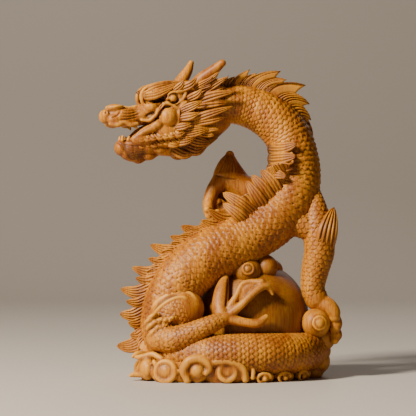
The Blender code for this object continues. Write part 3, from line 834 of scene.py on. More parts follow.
@dataclass
class Body:
    """The scaled body in three lengths, its scales growing with its girth.

    Attributes:
        spine: the middle line.
        around: points around a ring.
        columns: scales around the body.
        row_share: length of a row of scales against the width of a scale.
        relief: height of a scale's rim above the next one's root.
        belly_half: half the angle around that the belly band takes up.
        cuts: rows of SPINE at which one length ends and the next starts.
        lengths: the names of the lengths.
    """

    spine: Spine
    around: int = 154
    columns: int = 22
    row_share: float = 0.62
    relief: float = 0.95
    belly_half: float = math.radians(32)
    cuts: tuple[float, ...] = (0.0, 8.5, 16.5, 30.0)
    lengths: tuple[str, ...] = ("body_neck", "body_back", "body_coil")

    def belly(self, out: np.ndarray) -> np.ndarray:
        """How far, 0 to 1, each point of the rings is on the smooth belly band.

        Args:
            out: the way that each point of each ring stands off the middle line.

        Returns:
            One value for each ring and point.
        """
        s = self.spine
        facing = -np.where((s.row < 7.5)[:, None], way_at(NECK_ROOT, s.row), way_at(BACK_ROOT, s.row))
        facing = unit(facing - s.along * np.einsum("ij,ij->i", facing, s.along)[:, None])
        nearness = np.einsum("ijk,ik->ij", out, facing)
        shown = np.interp(s.row, [4.8, 6.0, 9.0, 10.0, 17.0, 18.0], [1, 0, 0, 1, 1, 0])
        return np.clip((nearness - math.cos(self.belly_half)) / 0.06, 0, 1) * shown[:, None]

    def build(self, finish: Boxwood) -> list[bpy.types.Object]:
        """Each point stands off the middle line by the radius less the depth between the scales."""
        s = self.spine
        turn = circle(self.around)
        pitch = 2 * math.pi * s.radius / self.columns * self.row_share
        rows = np.concatenate([[0], np.cumsum(np.diff(s.length) / ((pitch[1:] + pitch[:-1]) / 2))])
        across = np.broadcast_to(turn / (2 * math.pi) * self.columns, (len(rows), self.around))
        along = np.broadcast_to(rows[:, None], across.shape)
        scales, under = fish_scales(across, along)
        plates = np.mod(along / 1.5, 1.0)
        out = s.outward(turn)
        belly = self.belly(out)
        height = (scales - 0.25 * under) * (1 - belly) + (0.45 + 0.4 * plates**1.5) * belly
        size = np.interp(s.radius, [4, 9, 13, 17], [0.35, 0.7, 0.9, 1.0])[:, None]
        depth = (height - 0.85) * self.relief * size
        rings = s.centre[:, None, :] + out * (s.radius[:, None] + depth)[..., None]
        # painted shade under the scales' rims and in the lines between the belly's plates, and a paler
        # painted highlight on the rims
        painted_shading = (1.15 * under - 0.35 * scales + 0.1) * (1 - belly) + 0.5 * (plates < 0.12) * belly
        # painted shade on the neck under the mane and on the coil, which lie in shadow
        mane_shadow = np.clip(1.7 - 0.9 * s.row, 0, 1)
        coil_shade = np.interp(s.row, [16, 19, 23, 30], [0, 0.12, 0.35, 0.2])
        painted_shading = painted_shading + (mane_shadow + coil_shade)[:, None]
        pieces = []
        for name, first, last in zip(self.lengths, self.cuts, self.cuts[1:]):
            low, high = np.searchsorted(s.row, first), np.searchsorted(s.row, last) + 1
            pieces.append(place(name, skin(rings[low:high], painted_shading[low:high]), finish))
        return pieces


@dataclass
class CrestRun:
    """One run of crest: a thin ribbed sheet whose free edge breaks into flame-shaped spikes.

    Attributes:
        name: the piece's name.
        root: the way to the root on the body, at rows of SPINE.
        rise: the way that the sheet rises, at rows of SPINE.
        lean: how far a spike leans to the tail against its height, at rows of SPINE.
        spikes: row of the tip, height, notch height and grooves of each spike.
        thickness: the sheet's thickness at its root.
        sink: how far the root lies under the skin.
        low: the height at which the edge starts and ends.
        row_length: the distance from row to row of SPINE, about.
        up_steps: points from the root to the edge.
    """

    name: str
    root: dict
    rise: dict
    lean: dict
    spikes: list
    thickness: float = 3.0
    sink: float = 1.6
    low: float = 0.6
    row_length: float = 15.0
    up_steps: int = 15

    def edge(self) -> np.ndarray:
        """The free edge: up in a bulging line to each tip, then back under it to a notch.

        Returns:
            Rows of SPINE, heights, and depths of the grooves, 0 to 1.
        """
        at, top = self.spikes[0][0] - 0.3, self.low
        stretches = [[[at], [top], [0.0]]]
        for row, height, notch, count in self.spikes:
            t = np.linspace(0, 1, 7 + 5 * count)[1:]
            bulge = 0.12 * (height - top) * np.sin(t * math.pi)
            rise = top + (height - top) * t**1.2 + bulge
            stretches.append([at + (row - at) * t, rise, np.abs(np.cos(np.pi * t * count)) ** 3])
            t = np.linspace(0, 1, 6)[1:]
            stretches.append([row - 0.05 * np.sin(t * math.pi / 2), height + (notch - height) * t, 0 * t])
            at, top = row - 0.05, notch
        stretches.append([[at + 0.5], [self.low], [0.0]])
        return np.concatenate([np.array(stretch) for stretch in stretches], axis=1)

    def shell(self, spine: Spine) -> Shell:
        """The sheet: from each foot to its place on the edge runs a curve bent the way it rises."""
        row, height, groove = self.edge()
        keys = sorted(self.lean)
        lean = np.interp(row, keys, [self.lean[k] for k in keys])
        foot = np.maximum.accumulate(row - lean * height / self.row_length)
        root, along = self.roots(spine, foot)
        below, _ = self.roots(spine, row)
        end = below + way_at(self.rise, row) * (height + self.sink)[:, None]
        bend = root + way_at(self.rise, foot) * ((height + self.sink) * 0.6)[:, None]
        side = unit(np.cross(along, end - root))
        t = np.linspace(0, 1, self.up_steps)[None, :, None]
        middle = root[:, None] * (1 - t) ** 2 + bend[:, None] * 2 * t * (1 - t) + end[:, None] * t**2
        t = t[..., 0]
        half = self.thickness / 2 * (1 - 0.72 * t**1.3) * (1 - 0.58 * groove[:, None] * np.minimum(1, t * 4))
        wave = 0.5 * np.sin(np.arange(len(row)) * 0.21)[:, None] * t
        near = middle + side[:, None] * (half + wave)[..., None]
        far = middle - side[:, None] * (half - wave)[..., None]
        rings = np.concatenate([far, near[:, ::-1]], axis=1)[:, ::-1]
        # painted shade in the grooves and at the root, turning to a paler painted highlight towards the free
        # edge
        painted_shading = np.broadcast_to(groove[:, None] * 1.6 - 0.35 - 0.3 * t, half.shape)
        painted_shading = painted_shading + np.clip(0.7 - 3 * t, 0, 1)
        return skin(rings, np.concatenate([painted_shading, painted_shading[:, ::-1]], axis=1)[:, ::-1])

    def roots(self, spine: Spine, rows: np.ndarray) -> tuple[np.ndarray, np.ndarray]:
        """Points a little below the skin at rows of SPINE, and the way that the spine runs there."""
        centre, radius, along = spine.at(rows)
        way = way_at(self.root, rows)
        way = unit(way - along * np.einsum("ij,ij->i", way, along)[:, None])
        return centre + way * (radius - self.sink)[:, None], along

    def build(self, spine: Spine, finish: Boxwood) -> bpy.types.Object:
        """Makes the run a piece."""
        return place(self.name, self.shell(spine), finish)


# Leaves of the back's crest: tip x, y, z, the row of SPINE at its foot, half width and grooves
BACK_LEAVES = [
    ((-7.6, -15, 105.0), 10.0, 4.0, 4), ((-12.2, -15, 98.6), 10.45, 3.8, 4),
    ((-24.8, -14, 95.0), 11.05, 4.8, 5), ((-31.5, -15, 88.6), 11.55, 3.8, 4),
    ((-43.9, -14, 83.2), 12.15, 4.6, 5),
    ((-45.2, -16, 74.8), 12.6, 3.0, 3), ((-55.4, -14, 69.2), 13.0, 4.0, 4),
    ((-53.0, -16, 62.8), 13.35, 3.2, 3),
    ((-62.4, -14, 55.8), 13.65, 4.6, 5), ((-58.9, -16, 48.2), 14.05, 3.4, 4),
    ((-62.9, -14, 40.2), 14.4, 4.6, 5),
    ((-57.6, -16, 35.0), 14.8, 3.4, 4), ((-56.4, -15, 27.0), 15.15, 3.6, 4),
    ((-64.8, -15, 20.3), 15.35, 5.2, 6),
]

# Lobes of the fringe beside the throat: root, middle, tip, half width, grooves
FRINGE = [
    ((31, -6, 143.5), (39.5, -16, 143.8), (47, -19.6, 146), 3.6, 4),
    ((31, -7, 137), (39, -16.5, 137.5), (46.6, -20, 138.6), 3.8, 4),
    ((30.5, -8, 130.5), (37.5, -17, 131.6), (45, -21, 131.4), 3.8, 4),
    ((29, -9, 125), (34, -18, 127.4), (40.6, -21.6, 125.6), 3.6, 4),
    ((38, -12, 112), (32, -18, 122), (25.2, -16, 130), 4.2, 4),
    ((34, -12, 107), (26.6, -18.6, 118), (19.4, -16, 126.8), 4.2, 4),
    ((30, -12, 102), (22.6, -19.4, 113), (15.8, -17, 123.2), 4.2, 4),
    ((25, -13, 98), (13, -20.4, 108.4), (1.4, -17, 115.8), 4.6, 5),
    ((20, -14, 94), (10.6, -21.4, 102.4), (1.4, -18, 109.2), 3.9, 4),
]

# What lobes and leaves share: half their thickness, and how blunt they are; lobes also the way they face
FRINGE_THICKNESS, FRINGE_POINT, FRINGE_FACING = 2.2, 0.5, (-0.3, -0.95, 0.1)
LEAF_THICKNESS, LEAF_POINT = 2.6, 0.6
LEAF_SINK, LEAF_SAG = 0.16, 0.15  # shares of a leaf's length: under the skin, and bowed down


def fringe() -> list[Shell]:
    """The ribbed lobes of the fringe, folded over the side of the body that the viewer sees."""
    made = []
    for root, middle, tip, half, grooves in FRINGE:
        rows = np.array([root, middle, tip], float)
        lobe = leaf(rows, half, FRINGE_THICKNESS, grooves, unit(FRINGE_FACING), FRINGE_POINT)
        # painted shade that deepens from the middle of each lobe to its root
        away = np.linalg.norm(lobe.points - rows[2], axis=1) / np.linalg.norm(rows[2] - rows[0])
        lobe.painted_shading = lobe.painted_shading + np.clip(1.5 * (away - 0.45), 0, 0.7)
        made.append(lobe)
    return made


def crest_leaves(run: CrestRun, spine: Spine) -> list[Shell]:
    """The flame-shaped leaves of the back, each bowed so that its tip turns up a little."""
    made = []
    for tip, row, half, grooves in BACK_LEAVES:
        foot, along = (part[0] for part in run.roots(spine, np.array([row])))
        tip = np.array(tip, float)
        foot = foot + (foot - tip) * LEAF_SINK
        sag = LEAF_SAG * np.linalg.norm(tip - foot)
        rows = np.array([foot, (foot + tip) / 2 - (0, 0, sag), tip])
        made.append(leaf(rows, half, LEAF_THICKNESS, grooves, unit(np.cross(tip - foot, along)), LEAF_POINT))
    return made


def crests(spine: Spine, finish: Boxwood) -> None:
    """Builds the crests of neck, back and tail."""
    back_rise = {row: way for row, way in BACK_ROOT.items() if row > 9.5} | BACK_FOLD
    back_lean = {5.4: 0.1, 8.6: 0.05, 10: 0.5, 11.5: 0.75, 17: 0.75}
    CrestRun("crest_neck", NECK_ROOT, NECK_ROOT, {1: 0.7}, NECK_SPIKES).build(spine, finish)
    back = CrestRun("crest_back", BACK_ROOT, back_rise, back_lean, BACK_SPIKES)
    place(back.name, join([back.shell(spine), *crest_leaves(back, spine), *fringe()]), finish)
    CrestRun("crest_tail", TAIL_ROOT, TAIL_ROOT, {1: 0.7}, TAIL_SPIKES).build(spine, finish)


# The head, in its own frame: forward of the eyes, towards its left side, and up


@dataclass(frozen=True)
class HeadFrame:
    """Where the head stands and how far it is turned towards the viewer."""

    origin: tuple[float, float, float] = (-28.5, -8.0, 168.0)
    turn: float = math.radians(16)

    def axes(self) -> np.ndarray:
        """The head's forward, left and up axes in the row frame."""
        cos, sin = math.cos(self.turn), math.sin(self.turn)
        return np.array([(-cos, -sin, 0.0), (sin, -cos, 0.0), (0.0, 0.0, 1.0)])

    def rows(self, rows: list | np.ndarray, flip: int = 1) -> np.ndarray:
        """Rows whose first three numbers are forward, left and up, as rows of the row frame."""
        rows = np.array(rows, float)
        rows[:, 1] *= flip
        rows[:, :3] = rows[:, :3] @ self.axes() + np.array(self.origin)
        return rows


class Side(Enum):
    """The two sides of the head."""

    NEAR = 1
    FAR = -1


# The middle of the head: rows of forward, left, up, half width and half height
SNOUT = [
    (6, 0, 1, 11, 9.6), (18, 0, -2.6, 9.2, 7.2), (28, 0, -4.8, 7.8, 6), (37, 0, -4.6, 7.4, 5.8),
    (44.4, 0, -5.0, 4.6, 4.6),
]
LOWER_JAW = [
    (0, 0, -16, 9.5, 8), (13, 0, -21, 8.4, 7.2), (24, 0, -25, 7.6, 7.8),
    (30.5, 0, -25, 6.6, 7.2), (34, 0, -24.4, 5.2, 5.2),
]
THROAT = [
    (10, 0, -20, 6.4, 9), (-4, 0, -20.5, 6.2, 9), (-12, 0, -17, 6.4, 9.5), (-20, 0, -12, 7.4, 9),
    (-28, 0, -5, 8.6, 9),
]
CORE_BALLS = [((-5, 0, 3), (16, 12, 14)), ((7, 0, 9), (13, 7.5, 6.6)), ((-9, 0, 10), (11, 10.5, 8.5))]
SIDE_BALLS = [
    ((39.4, 3.8, 0.4), (4.8, 3, 2.4)), ((44.9, 2.8, -3.8), (2.7, 2.5, 3.2)),
    ((7.1, 10.8, -5.1), (6, 5.2, 6)), ((-1, 8, -5), (10.4, 6, 10.5)),
    ((13.9, 9.6, -10), (3.7, 3.2, 3.3)), ((4.3, 11.7, 6.3), (2.3, 2, 2.3)), ((2.4, 9, 7.4), (7.4, 3.4, 4.8)),
    ((17.3, 7.6, 1.0), (4.6, 3.6, 3.4)), ((6, 8.6, -13.5), (9, 4.2, 6.6)), ((32.5, 5.2, -5.6), (9, 3.2, 5.4)),
    ((22, 6.4, -19), (8, 3.4, 4.4)),
    ((39.4, 4.6, -7.2), (5, 3.2, 4.2)),
]
SIDE_LIMBS = [
    [(20.6, 5.6, 8.0, 2.0), (15.4, 7.4, 10.6, 2.4), (8.6, 8.4, 13, 2.4), (2.4, 8.6, 14.6, 2.0)],
    [(20.6, 5.2, 1.2, 1.6), (22.6, 5.6, 5, 1.5), (23, 5.4, 8.8, 1.4), (20.6, 6, 12.4, 1.4),
     (15, 7.4, 14.8, 1.4), (8, 8.4, 16.2, 1.4), (1, 8.8, 16.4, 1.2)],
    [(16.5, 9.4, -11.9, 2.8), (22, 8.4, -14.2, 2.4), (27.4, 6.4, -18.4, 1.9)],
    [(23.4, 8.0, -7.2, 1.0), (19, 9.2, -7.4, 1.2), (15.6, 10.4, -4.4, 1.2), (13.4, 11, -1, 1.2),
     (10.3, 11.8, 2.8, 1.2), (6.6, 12.6, 3.0, 1.2), (2.4, 13, 0.4, 1.0)],
    [(42.4, 5.2, -9.4, 1.7), (38.5, 6.8, -10.2, 1.8), (34.5, 7.4, -8.6, 1.6), (30.5, 8, -10.2, 1.7),
     (26.8, 8.6, -9.6, 1.3)],
    [(28.4, 7.8, -10.2, 1.5), (26.8, 8.2, -12.6, 0.7)],
    [(34.8, 3.4, -19.4, 1.3), (34.6, 3.4, -17.2, 0.8)],
    [(31.2, 4.6, -19.2, 1.3), (30.8, 4.6, -17.6, 0.8)],
    [(8.2, 10.8, 7.6, 0.7), (5.4, 11.4, 9.4, 1.0), (0.8, 11.6, 10.4, 1.2), (-3.6, 11.4, 11.2, 1.2),
     (-3.4, 11.6, 8.4, 1.1), (-1.2, 11.9, 5.2, 1.0), (2.6, 12, 3.2, 0.8)],
    [(-3.5, 13, 3.7, 1.3), (-0.3, 13.4, 0.8, 1.3), (1.0, 13.4, -4.5, 1.3), (1.5, 13, -8.5, 1.2),
     (3.4, 12, -12.4, 1.2)],
]
HORNS = [
    [(-28, 1, 181, 4.8), (-24.6, 3, 187, 4), (-20.6, 4.5, 193.4, 3), (-18.6, 5.6, 198.4, 1.7)],
    [(-17, -10, 181, 4.6), (-11.5, -12, 187, 4.2), (-5, -14, 191.8, 3.4), (1.0, -15.5, 196.6, 2.3)],
]
# Gouge runs on one side of the head: width, depth, then points of forward, left and up
FACE_CUTS = [
    (2.0, 2.4, [(21.6, 7, 4.6), (16, 9, 5.0), (11.2, 10, 6.4), (8.2, 10.6, 9.0)]),
    (1.0, 1.0, [(7.4, 11, 6.3), (6.4, 11, 8.4), (4.3, 11, 9.2), (2.0, 11, 8.4), (1.2, 11, 6.3),
                (2.2, 11, 4.2), (4.3, 11, 3.5), (6.6, 11, 4.2), (7.4, 11, 6.3)]),
    (0.8, 0.8, [(22.6, 8, -8.8), (18.6, 9.6, -9), (14.4, 10.8, -6), (12, 11.6, -1.6), (9.6, 12, 0.8),
                (6, 12.6, 0.6)]),
    (1.2, 1.2, [(21.2, 8.6, -5), (18.6, 9, -3.4), (16, 9.6, -2.6)]),
    (1.0, 1.0, [(13.4, 10, -0.6), (11, 11, 3.4), (9, 11.4, 5.2)]),
    (0.8, 0.9, [(0.4, 13, 1.4), (0, 13.4, -4), (0.2, 13.4, -8)]),
    (0.5, 0.6, [(34, 7, 0.2), (29, 7, 0.4), (24, 7.4, 1.6)]),
    (0.9, -0.8, [(42, 5, 0.8), (36, 5.6, 1.2), (30, 6, 0.6), (24, 6.8, 2.2)]),
    (0.7, 0.6, [(45.8, 4.4, -1.2), (43.6, 5.6, -1.8), (43, 5.8, -4)]),
    (0.9, 1.2, [(46.4, 2.8, -2.6), (45.2, 4.2, -2.8)]),
    (0.7, 0.7, [(42.6, 6, -6), (39, 6.8, -4.6), (36.4, 6.6, -1.6)]),
    (0.7, 0.8, [(36, 7, -3), (31, 7.4, -3.2), (25, 8, -1.2)]),
    (0.7, 0.8, [(36.6, 7, -5.2), (31, 7.6, -5), (24, 8.6, -3)]),
    (0.7, 0.8, [(37.4, 7, -7.2), (32, 7.8, -6.6), (26, 8.6, -5.4)]),
    (0.7, 0.7, [(35, 6.6, -1.2), (30, 7, -1.2), (24, 7.6, 0.6)]),
    (0.5, 0.4, [(27, 6.6, -16.4), (22, 8.6, -12.8), (17.6, 9.6, -10.6)]),
]
BROW_CUTS = 6
CROWN_CUTS = 3
CHIN_CUTS = 9


@dataclass
class Head:
    """Skull, snout, open jaws, brows, eyes and cheeks, fused and then cut with the gouge."""

    frame: HeadFrame = field(default_factory=HeadFrame)
    voxel: float = 0.53
    rounds: int = 3

    def forms(self) -> list[Shell]:
        """The closed forms that the head is fused from."""
        up = self.frame.axes()[2]
        made = []
        for rows in (SNOUT, LOWER_JAW, THROAT):
            path = flowing(rows, 8)
            made.append(loft(self.frame.rows(path)[:, :3], path[:, 3], path[:, 4], up, 36))
        made += [ball(self.frame.rows([c])[0], radii, self.frame.axes()) for c, radii in CORE_BALLS]
        for side in Side:
            for centre, radii in SIDE_BALLS:
                made.append(ball(self.frame.rows([centre], side.value)[0], radii, self.frame.axes()))
            made += [limb(self.frame.rows(rows, side.value)) for rows in SIDE_LIMBS]
        return made

    def cuts(self, side: Side) -> list[Cut]:
        """The gouge's runs on one side: eye sockets, lips, and hair on the brow and chin."""
        runs = list(FACE_CUTS)
        for k in range(BROW_CUTS):
            low = 0.9 * k
            front, middle = (21 - 0.5 * k, 8.6, 6.9 + low), (14 - k * 0.4, 12, 8.3 + low * 1.2)
            runs.append((0.75, 0.8, [front, middle, (4 - k, 12, 12.4 + low)]))
        for k in range(CROWN_CUTS):
            points = [(21.6 - k, 6, 11.2 + 1.3 * k), (14 - k, 8, 13.8 + 1.1 * k), (4 - k, 9, 15.6 + 0.9 * k)]
            runs.append((0.55, 0.7, points))
        for k in range(CHIN_CUTS):
            low = 1.15 * k
            front, middle = (38.4 - 0.7 * low, 5, -20.8 - low), (31 - 0.4 * low, 7, -22.8 - low)
            runs.append((0.6, 0.9, [front, middle, (20 - 0.3 * low, 7, -24.4 - 0.75 * low)]))
        return [Cut(flowing(self.frame.rows(rows, side.value), 6), *size) for *size, rows in runs]

    def build(self, finish: Boxwood) -> bpy.types.Object:
        """Fuses the head and cuts both of its sides."""
        shell = fuse("head", self.forms(), self.voxel, self.rounds)
        for side in Side:
            chisel(shell, self.cuts(side), self.frame.axes()[1] * side.value)
        local = (shell.points - np.array(self.frame.origin)) @ self.frame.axes().T
        # painted shade under the throat
        throat_shade = np.clip((6 - local[:, 0]) / 6, 0, 1) * np.clip((-12 - local[:, 2]) / 4, 0, 0.9)
        shell.painted_shading = shell.painted_shading + throat_shade
        return place("head", shell, finish)

    def horns(self, finish: Boxwood) -> bpy.types.Object:
        """The two blunt horns."""
        return place("horns", join([limb(rows, 16, 40) for rows in HORNS]), finish)


# Locks on one side: root, middle and tip in the head's frame, half width, grooves
MANE = [
    ((-12, 9, 8), (-22, 13, 13.4), (-30.8, 13, 18), 4.2, 5),
    ((-8, 11, 3), (-22, 14.5, 6.4), (-34.2, 14, 8), 5.0, 6),
    ((-5, 11, -8.5), (-19.5, 14.5, -4.6), (-33.5, 14, -0.6), 4.3, 5),
    ((1, 10, -15.4), (-9.7, 13.6, -13.8), (-20.7, 13, -12.2), 3.8, 5),
    ((4, 8.5, -20.6), (-3.8, 12, -19.8), (-10.4, 11, -18.3), 3.1, 4),
    ((9, 8, -19.6), (3.4, 10, -22), (-1.5, 9, -22.6), 2.7, 3),
    ((-5, 13, 6), (-9.7, 16, 8.6), (-13.1, 16, 11.5), 2.5, 3),
    ((-0.5, 13, -1.4), (-7, 16.5, 1.6), (-13.3, 16.5, 4), 2.8, 4),
    ((0, 13, -6), (-5.7, 16.2, -4.8), (-11.3, 16, -3.5), 2.6, 3),
    ((3, 12, -12), (-2.3, 14.6, -10.9), (-6.5, 14, -9.9), 2.4, 3),
    ((-1, 11, 12.4), (-6.4, 14, 15), (-10.6, 13, 18.4), 2.6, 3),
    ((-10, 10.5, 13), (-16.8, 13.5, 16), (-20.8, 13, 18.6), 2.8, 4),
    ((3, 10, 11.6), (-0.4, 12, 14.6), (-2.7, 11.6, 17.3), 2.1, 3),
    ((-14, 8, 14), (-22, 10, 18.6), (-26, 8, 22), 2.8, 3),
    ((3, 4, -25), (-4, 6, -28.6), (-11, 5, -28.4), 3.0, 3),
    ((-5, 4, -24), (-12, 7, -26.4), (-19, 6, -24), 3.0, 3),
    ((-13, 5, -20), (-14.9, 7, -22.6), (-26, 6, -18.6), 3.0, 3),
    ((-12, 9, -14), (-19, 10, -14), (-25, 9, -14.5), 3.4, 4),
    ((-8, 7, -19), (-15, 8, -20.5), (-21, 7, -22), 3.4, 4),
    ((-8, 8, -3), (-18, 10, 1.0), (-26, 10, 3.0), 3.0, 4),
    ((-6, 8, -12), (-15, 10, -9.5), (-22, 9.5, -8), 3.0, 4),
]

# Hair of the brow: rows, half width, thickness and grooves
BROWS = [
    ([(23, 4.8, 8.6), (14, 8.4, 13.6), (0.5, 8.6, 16.4)], 2.8, 1.8, 3),
    ([(21.6, 6.8, 7.0), (13.6, 10, 8.8), (3.0, 10.6, 13.6)], 2.7, 2.0, 3),
    ([(17, 7.8, 10.2), (9, 10, 12.2), (-3.4, 10.6, 17.6)], 2.2, 1.6, 3),
]

# Tufts of the beard: root, tip and radius
BEARD = [
    ((28, 0, -28.4), (19, 0, -31.4), 3.2), ((22, 3, -27.4), (12.6, 3.5, -29), 2.7),
    ((22, -3, -27.4), (12.6, -3.5, -29), 2.7), ((16, 5, -24), (6, 6, -25), 2.6),
    ((16, -5, -24), (6, -6, -25), 2.6),
]


@dataclass
class Mane:
    """The locks that stream back from the cheeks and crown, curls along the jaw, and the beard."""

    frame: HeadFrame = field(default_factory=HeadFrame)
    thickness: float = 2.0
    curl_first: tuple = (26.5, 5.8, -17.0)
    curl_step: tuple = (-3.7, 0.8, 0.55)
    curl_count: int = 7
    far_lifts: tuple = ((0.3, 0.6), (0.8, 3.6), (1.2, 6.6))
    near_lifts: tuple = ((0, 0), (0.2, 1.0), (0.3, 2.0))

    def lock(
        self, root: tuple, middle: tuple, tip: tuple, half: float, grooves: int, flip: int
    ) -> list[Shell]:
        """A long lock is two grooved strands that part towards their tips, a short one a single leaf."""
        side = self.frame.axes()[1] * flip
        way = unit(np.array(tip) - np.array(root))
        aside = unit(np.cross((0.0, 1.0, 0.0), way))
        far = middle[0] < -15
        lifts = self.far_lifts if far else self.near_lifts
        points = [np.array(row) + (*lift, 0) for row, lift in zip((root, middle, tip), lifts)]
        if not far:
            points[2] = points[2] + aside * 0.8 * np.sign(way[0] * -aside[2])
            return [leaf(self.frame.rows(points, flip), half, self.thickness * 0.75, grooves, side)]
        made = []
        for place_across, reach, out in ((-0.55, 0.82, -0.3), (0.4, 1.0, 0.8)):
            shift = aside * half * place_across
            end = points[0] + (points[2] - points[0]) * reach + 1.25 * shift + (0, 1.5 * out, 0)
            rows = [points[0] + 0.4 * shift, points[1] + shift + (0, out, 0), end]
            made.append(leaf(self.frame.rows(rows, flip), half * 0.62, self.thickness, 3, side))
        return made

    def curls(self, flip: int) -> list[Shell]:
        """Two rows of short hooked curls along the jaw, no two next to each other alike."""
        made = []
        side = self.frame.axes()[1] * flip
        for k in range(self.curl_count):
            swing = 0.9 * math.sin(2.3 * k)
            root = np.array(self.curl_first) + np.array(self.curl_step) * k
            rows = [root, root + (-2.6 - swing * 0.4, 3.0, -2.6), root + (-6.8 - swing, 3.0, -1.2 + swing)]
            made.append(leaf(self.frame.rows(rows, flip), 2.2, 1.7, 2, side))
            root = root + (-1.2, -0.8, -4.4)
            rows = [root, root + (-2.4, 1.8, -2.2 + 0.4 * swing), root + (-6.4 + swing, 1.4, -2.2 - swing)]
            made.append(leaf(self.frame.rows(rows, flip), 1.9, 1.4, 2, side))
        return made

    def brows(self, flip: int) -> list[Shell]:
        """The hair of a brow, swept from the snout up and back over the eye."""
        side = unit(self.frame.axes()[1] * flip + 0.35 * self.frame.axes()[2])
        return [leaf(self.frame.rows(rows, flip), *shape, side) for rows, *shape in BROWS]

    def beard(self) -> list[Shell]:
        """The tufts under the chin."""
        made = []
        for root, tip, half in BEARD:
            middle = (np.array(root) + np.array(tip)) / 2 + (0, 0, -1.2)
            made.append(limb(self.frame.rows([(*root, half), (*middle, half), (*tip, 0.6)]), 8, 20))
        return made

    def build(self, finish: Boxwood) -> bpy.types.Object:
        """Makes all locks, curls and tufts one piece."""
        made = self.beard()
        for side in Side:
            for row in MANE:
                made += self.lock(*row, side.value)
            made += self.curls(side.value)
            made += self.brows(side.value)
        return place("mane", join(made), finish)


# The legs: rows of x, y, z and radius

NEAR_FORELEG = [
    (58.4, -6, 119, 3.4), (59.6, -8.6, 109, 6.2), (60.4, -9.8, 99, 8.8), (61.2, -10.2, 90, 9.6),
    (61.8, -10, 79, 9.6), (59.4, -9, 68, 8.8), (57.8, -9, 56.5, 7.6), (60, -9, 49.5, 7.4),
]
NEAR_ARMPIT = [(38, -5, 97, 9), (48, -7, 98, 10), (57, -9, 94, 9)]
# The leaf at the elbow: root, middle and tip; half width, half thickness and grooves; the way it faces
NEAR_ELBOW = [(63.4, -11, 77), (66.6, -18.6, 92), (70.6, -12, 106.6)]
ELBOW_SIZE, ELBOW_FACING, ELBOW_POINT = (6.8, 4.0, 5), (0.25, -0.95, 0.1), 0.6
NEAR_FORE_TOES = [
    [(62, -9, 47, 6.6), (67, -11.6, 45, 5.4), (70.2, -12.8, 41.6, 4.6), (71, -13, 38.4, 3.8)],
    [(67, -6, 46, 4.6), (71, -7.6, 38, 4), (71.9, -10.4, 34, 4.4), (71.7, -11.4, 31.2, 3.6)],
    [(68, -4, 36, 4.4), (71.8, -8, 29, 3.8), (71.9, -10.4, 26.4, 4.2), (71.4, -12, 23.6, 2.6)],
    [(61, -5, 47, 4.4), (65, 2, 42, 3.2), (69, 6, 35, 2.6), (70, 7, 28, 1.1)],
]
FAR_FORELEG = [
    (33, 8, 108, 9), (24, 12, 114, 9), (15, 13, 119, 8.6), (7.5, 13.5, 124, 8.4),
    (4.2, 13.5, 129, 7.8), (0.5, 12.5, 123.5, 6.4), (-4.6, 11, 117.5, 4.6), (-7.4, 8, 110.5, 3.8),
    (-7.6, 4, 105, 3.4), (-7, 1, 101.5, 2.8),
]
FAR_ELBOW = [(4.3, 13.5, 128, 8.6), (5, 13.2, 133, 7.2), (5.8, 13, 137.6, 5), (6.1, 13, 140.2, 2.9)]
FAR_CALF = [(15, 14, 118, 8), (11, 13.8, 126.5, 6), (7.6, 13.5, 135, 3.8)]
FAR_KNUCKLES = [(-8.4, 0, 105.4, 2.2), (-5.4, -1, 103.2, 2.3), (-2, -1.6, 103.6, 2.1)]
FAR_WEB = [(10, 15, 113), (0, 14.5, 113), (-3, 10, 105)]
FAR_HAIR_CUTS = 6
# The band under the hair and the hollow beside the shank: width, depth and points
FAR_CUTS = [
    (0.8, 0.7, [(-4, 4, 127.5), (1, 4, 126), (7, 4, 124.8), (12, 5, 125)]),
    (2.8, 1.5, [(0.5, 8, 116), (2, 8, 113), (2, 8, 109), (-1.5, 7, 106.5)]),
]
# Middle, half sizes, and the lean in degrees or as its cosine and sine
NEAR_HAUNCH = ((-27, -23, 42.0), (17.2, 11.6, 14.2), 22)
NEAR_WEB = ((14.8, -30.6, 53), (10, 2.6, 5.4), (0.77, 0.64))
NEAR_SHIN = [
    (-38, -30, 26, 8), (-30, -34.5, 25.6, 8.4), (-22, -36.5, 27.6, 7.8), (-14, -37.5, 31.6, 6.5),
    (-6, -37, 35.2, 5.6), (2.5, -34, 39, 4.4),
]
NEAR_HIND_TOES = [
    [(0.4, -32, 41, 5.2), (-0.3, -29, 47.5, 5.2), (0.8, -25, 56, 4.4), (2.8, -20.6, 63, 2.4),
     (3.6, -18, 66.2, 1)],
    [(4, -33.5, 40, 3.4), (13, -35.4, 47.4, 2.3), (20, -34, 54, 2.2), (25.6, -32, 58, 2.4),
     (29.4, -30.6, 57.4, 2), (31.8, -30, 53.2, 0.9)],
    [(5, -32.4, 44.6, 2.8), (9.6, -32, 52.6, 1.9), (13.2, -30.4, 59.2, 1.7), (18.6, -30, 60.8, 1.9),
     (24.6, -31, 60.4, 2.4)],
    [(4, -34, 38.5, 3.6), (14.5, -35.8, 36.4, 2.7), (22.5, -35.6, 35.8, 2.9), (27.6, -34.6, 39.4, 1.9)],
]
TOE_GROOVE = [(3.0, -36, 45), (3.9, -34, 54), (4.6, -30, 62)]
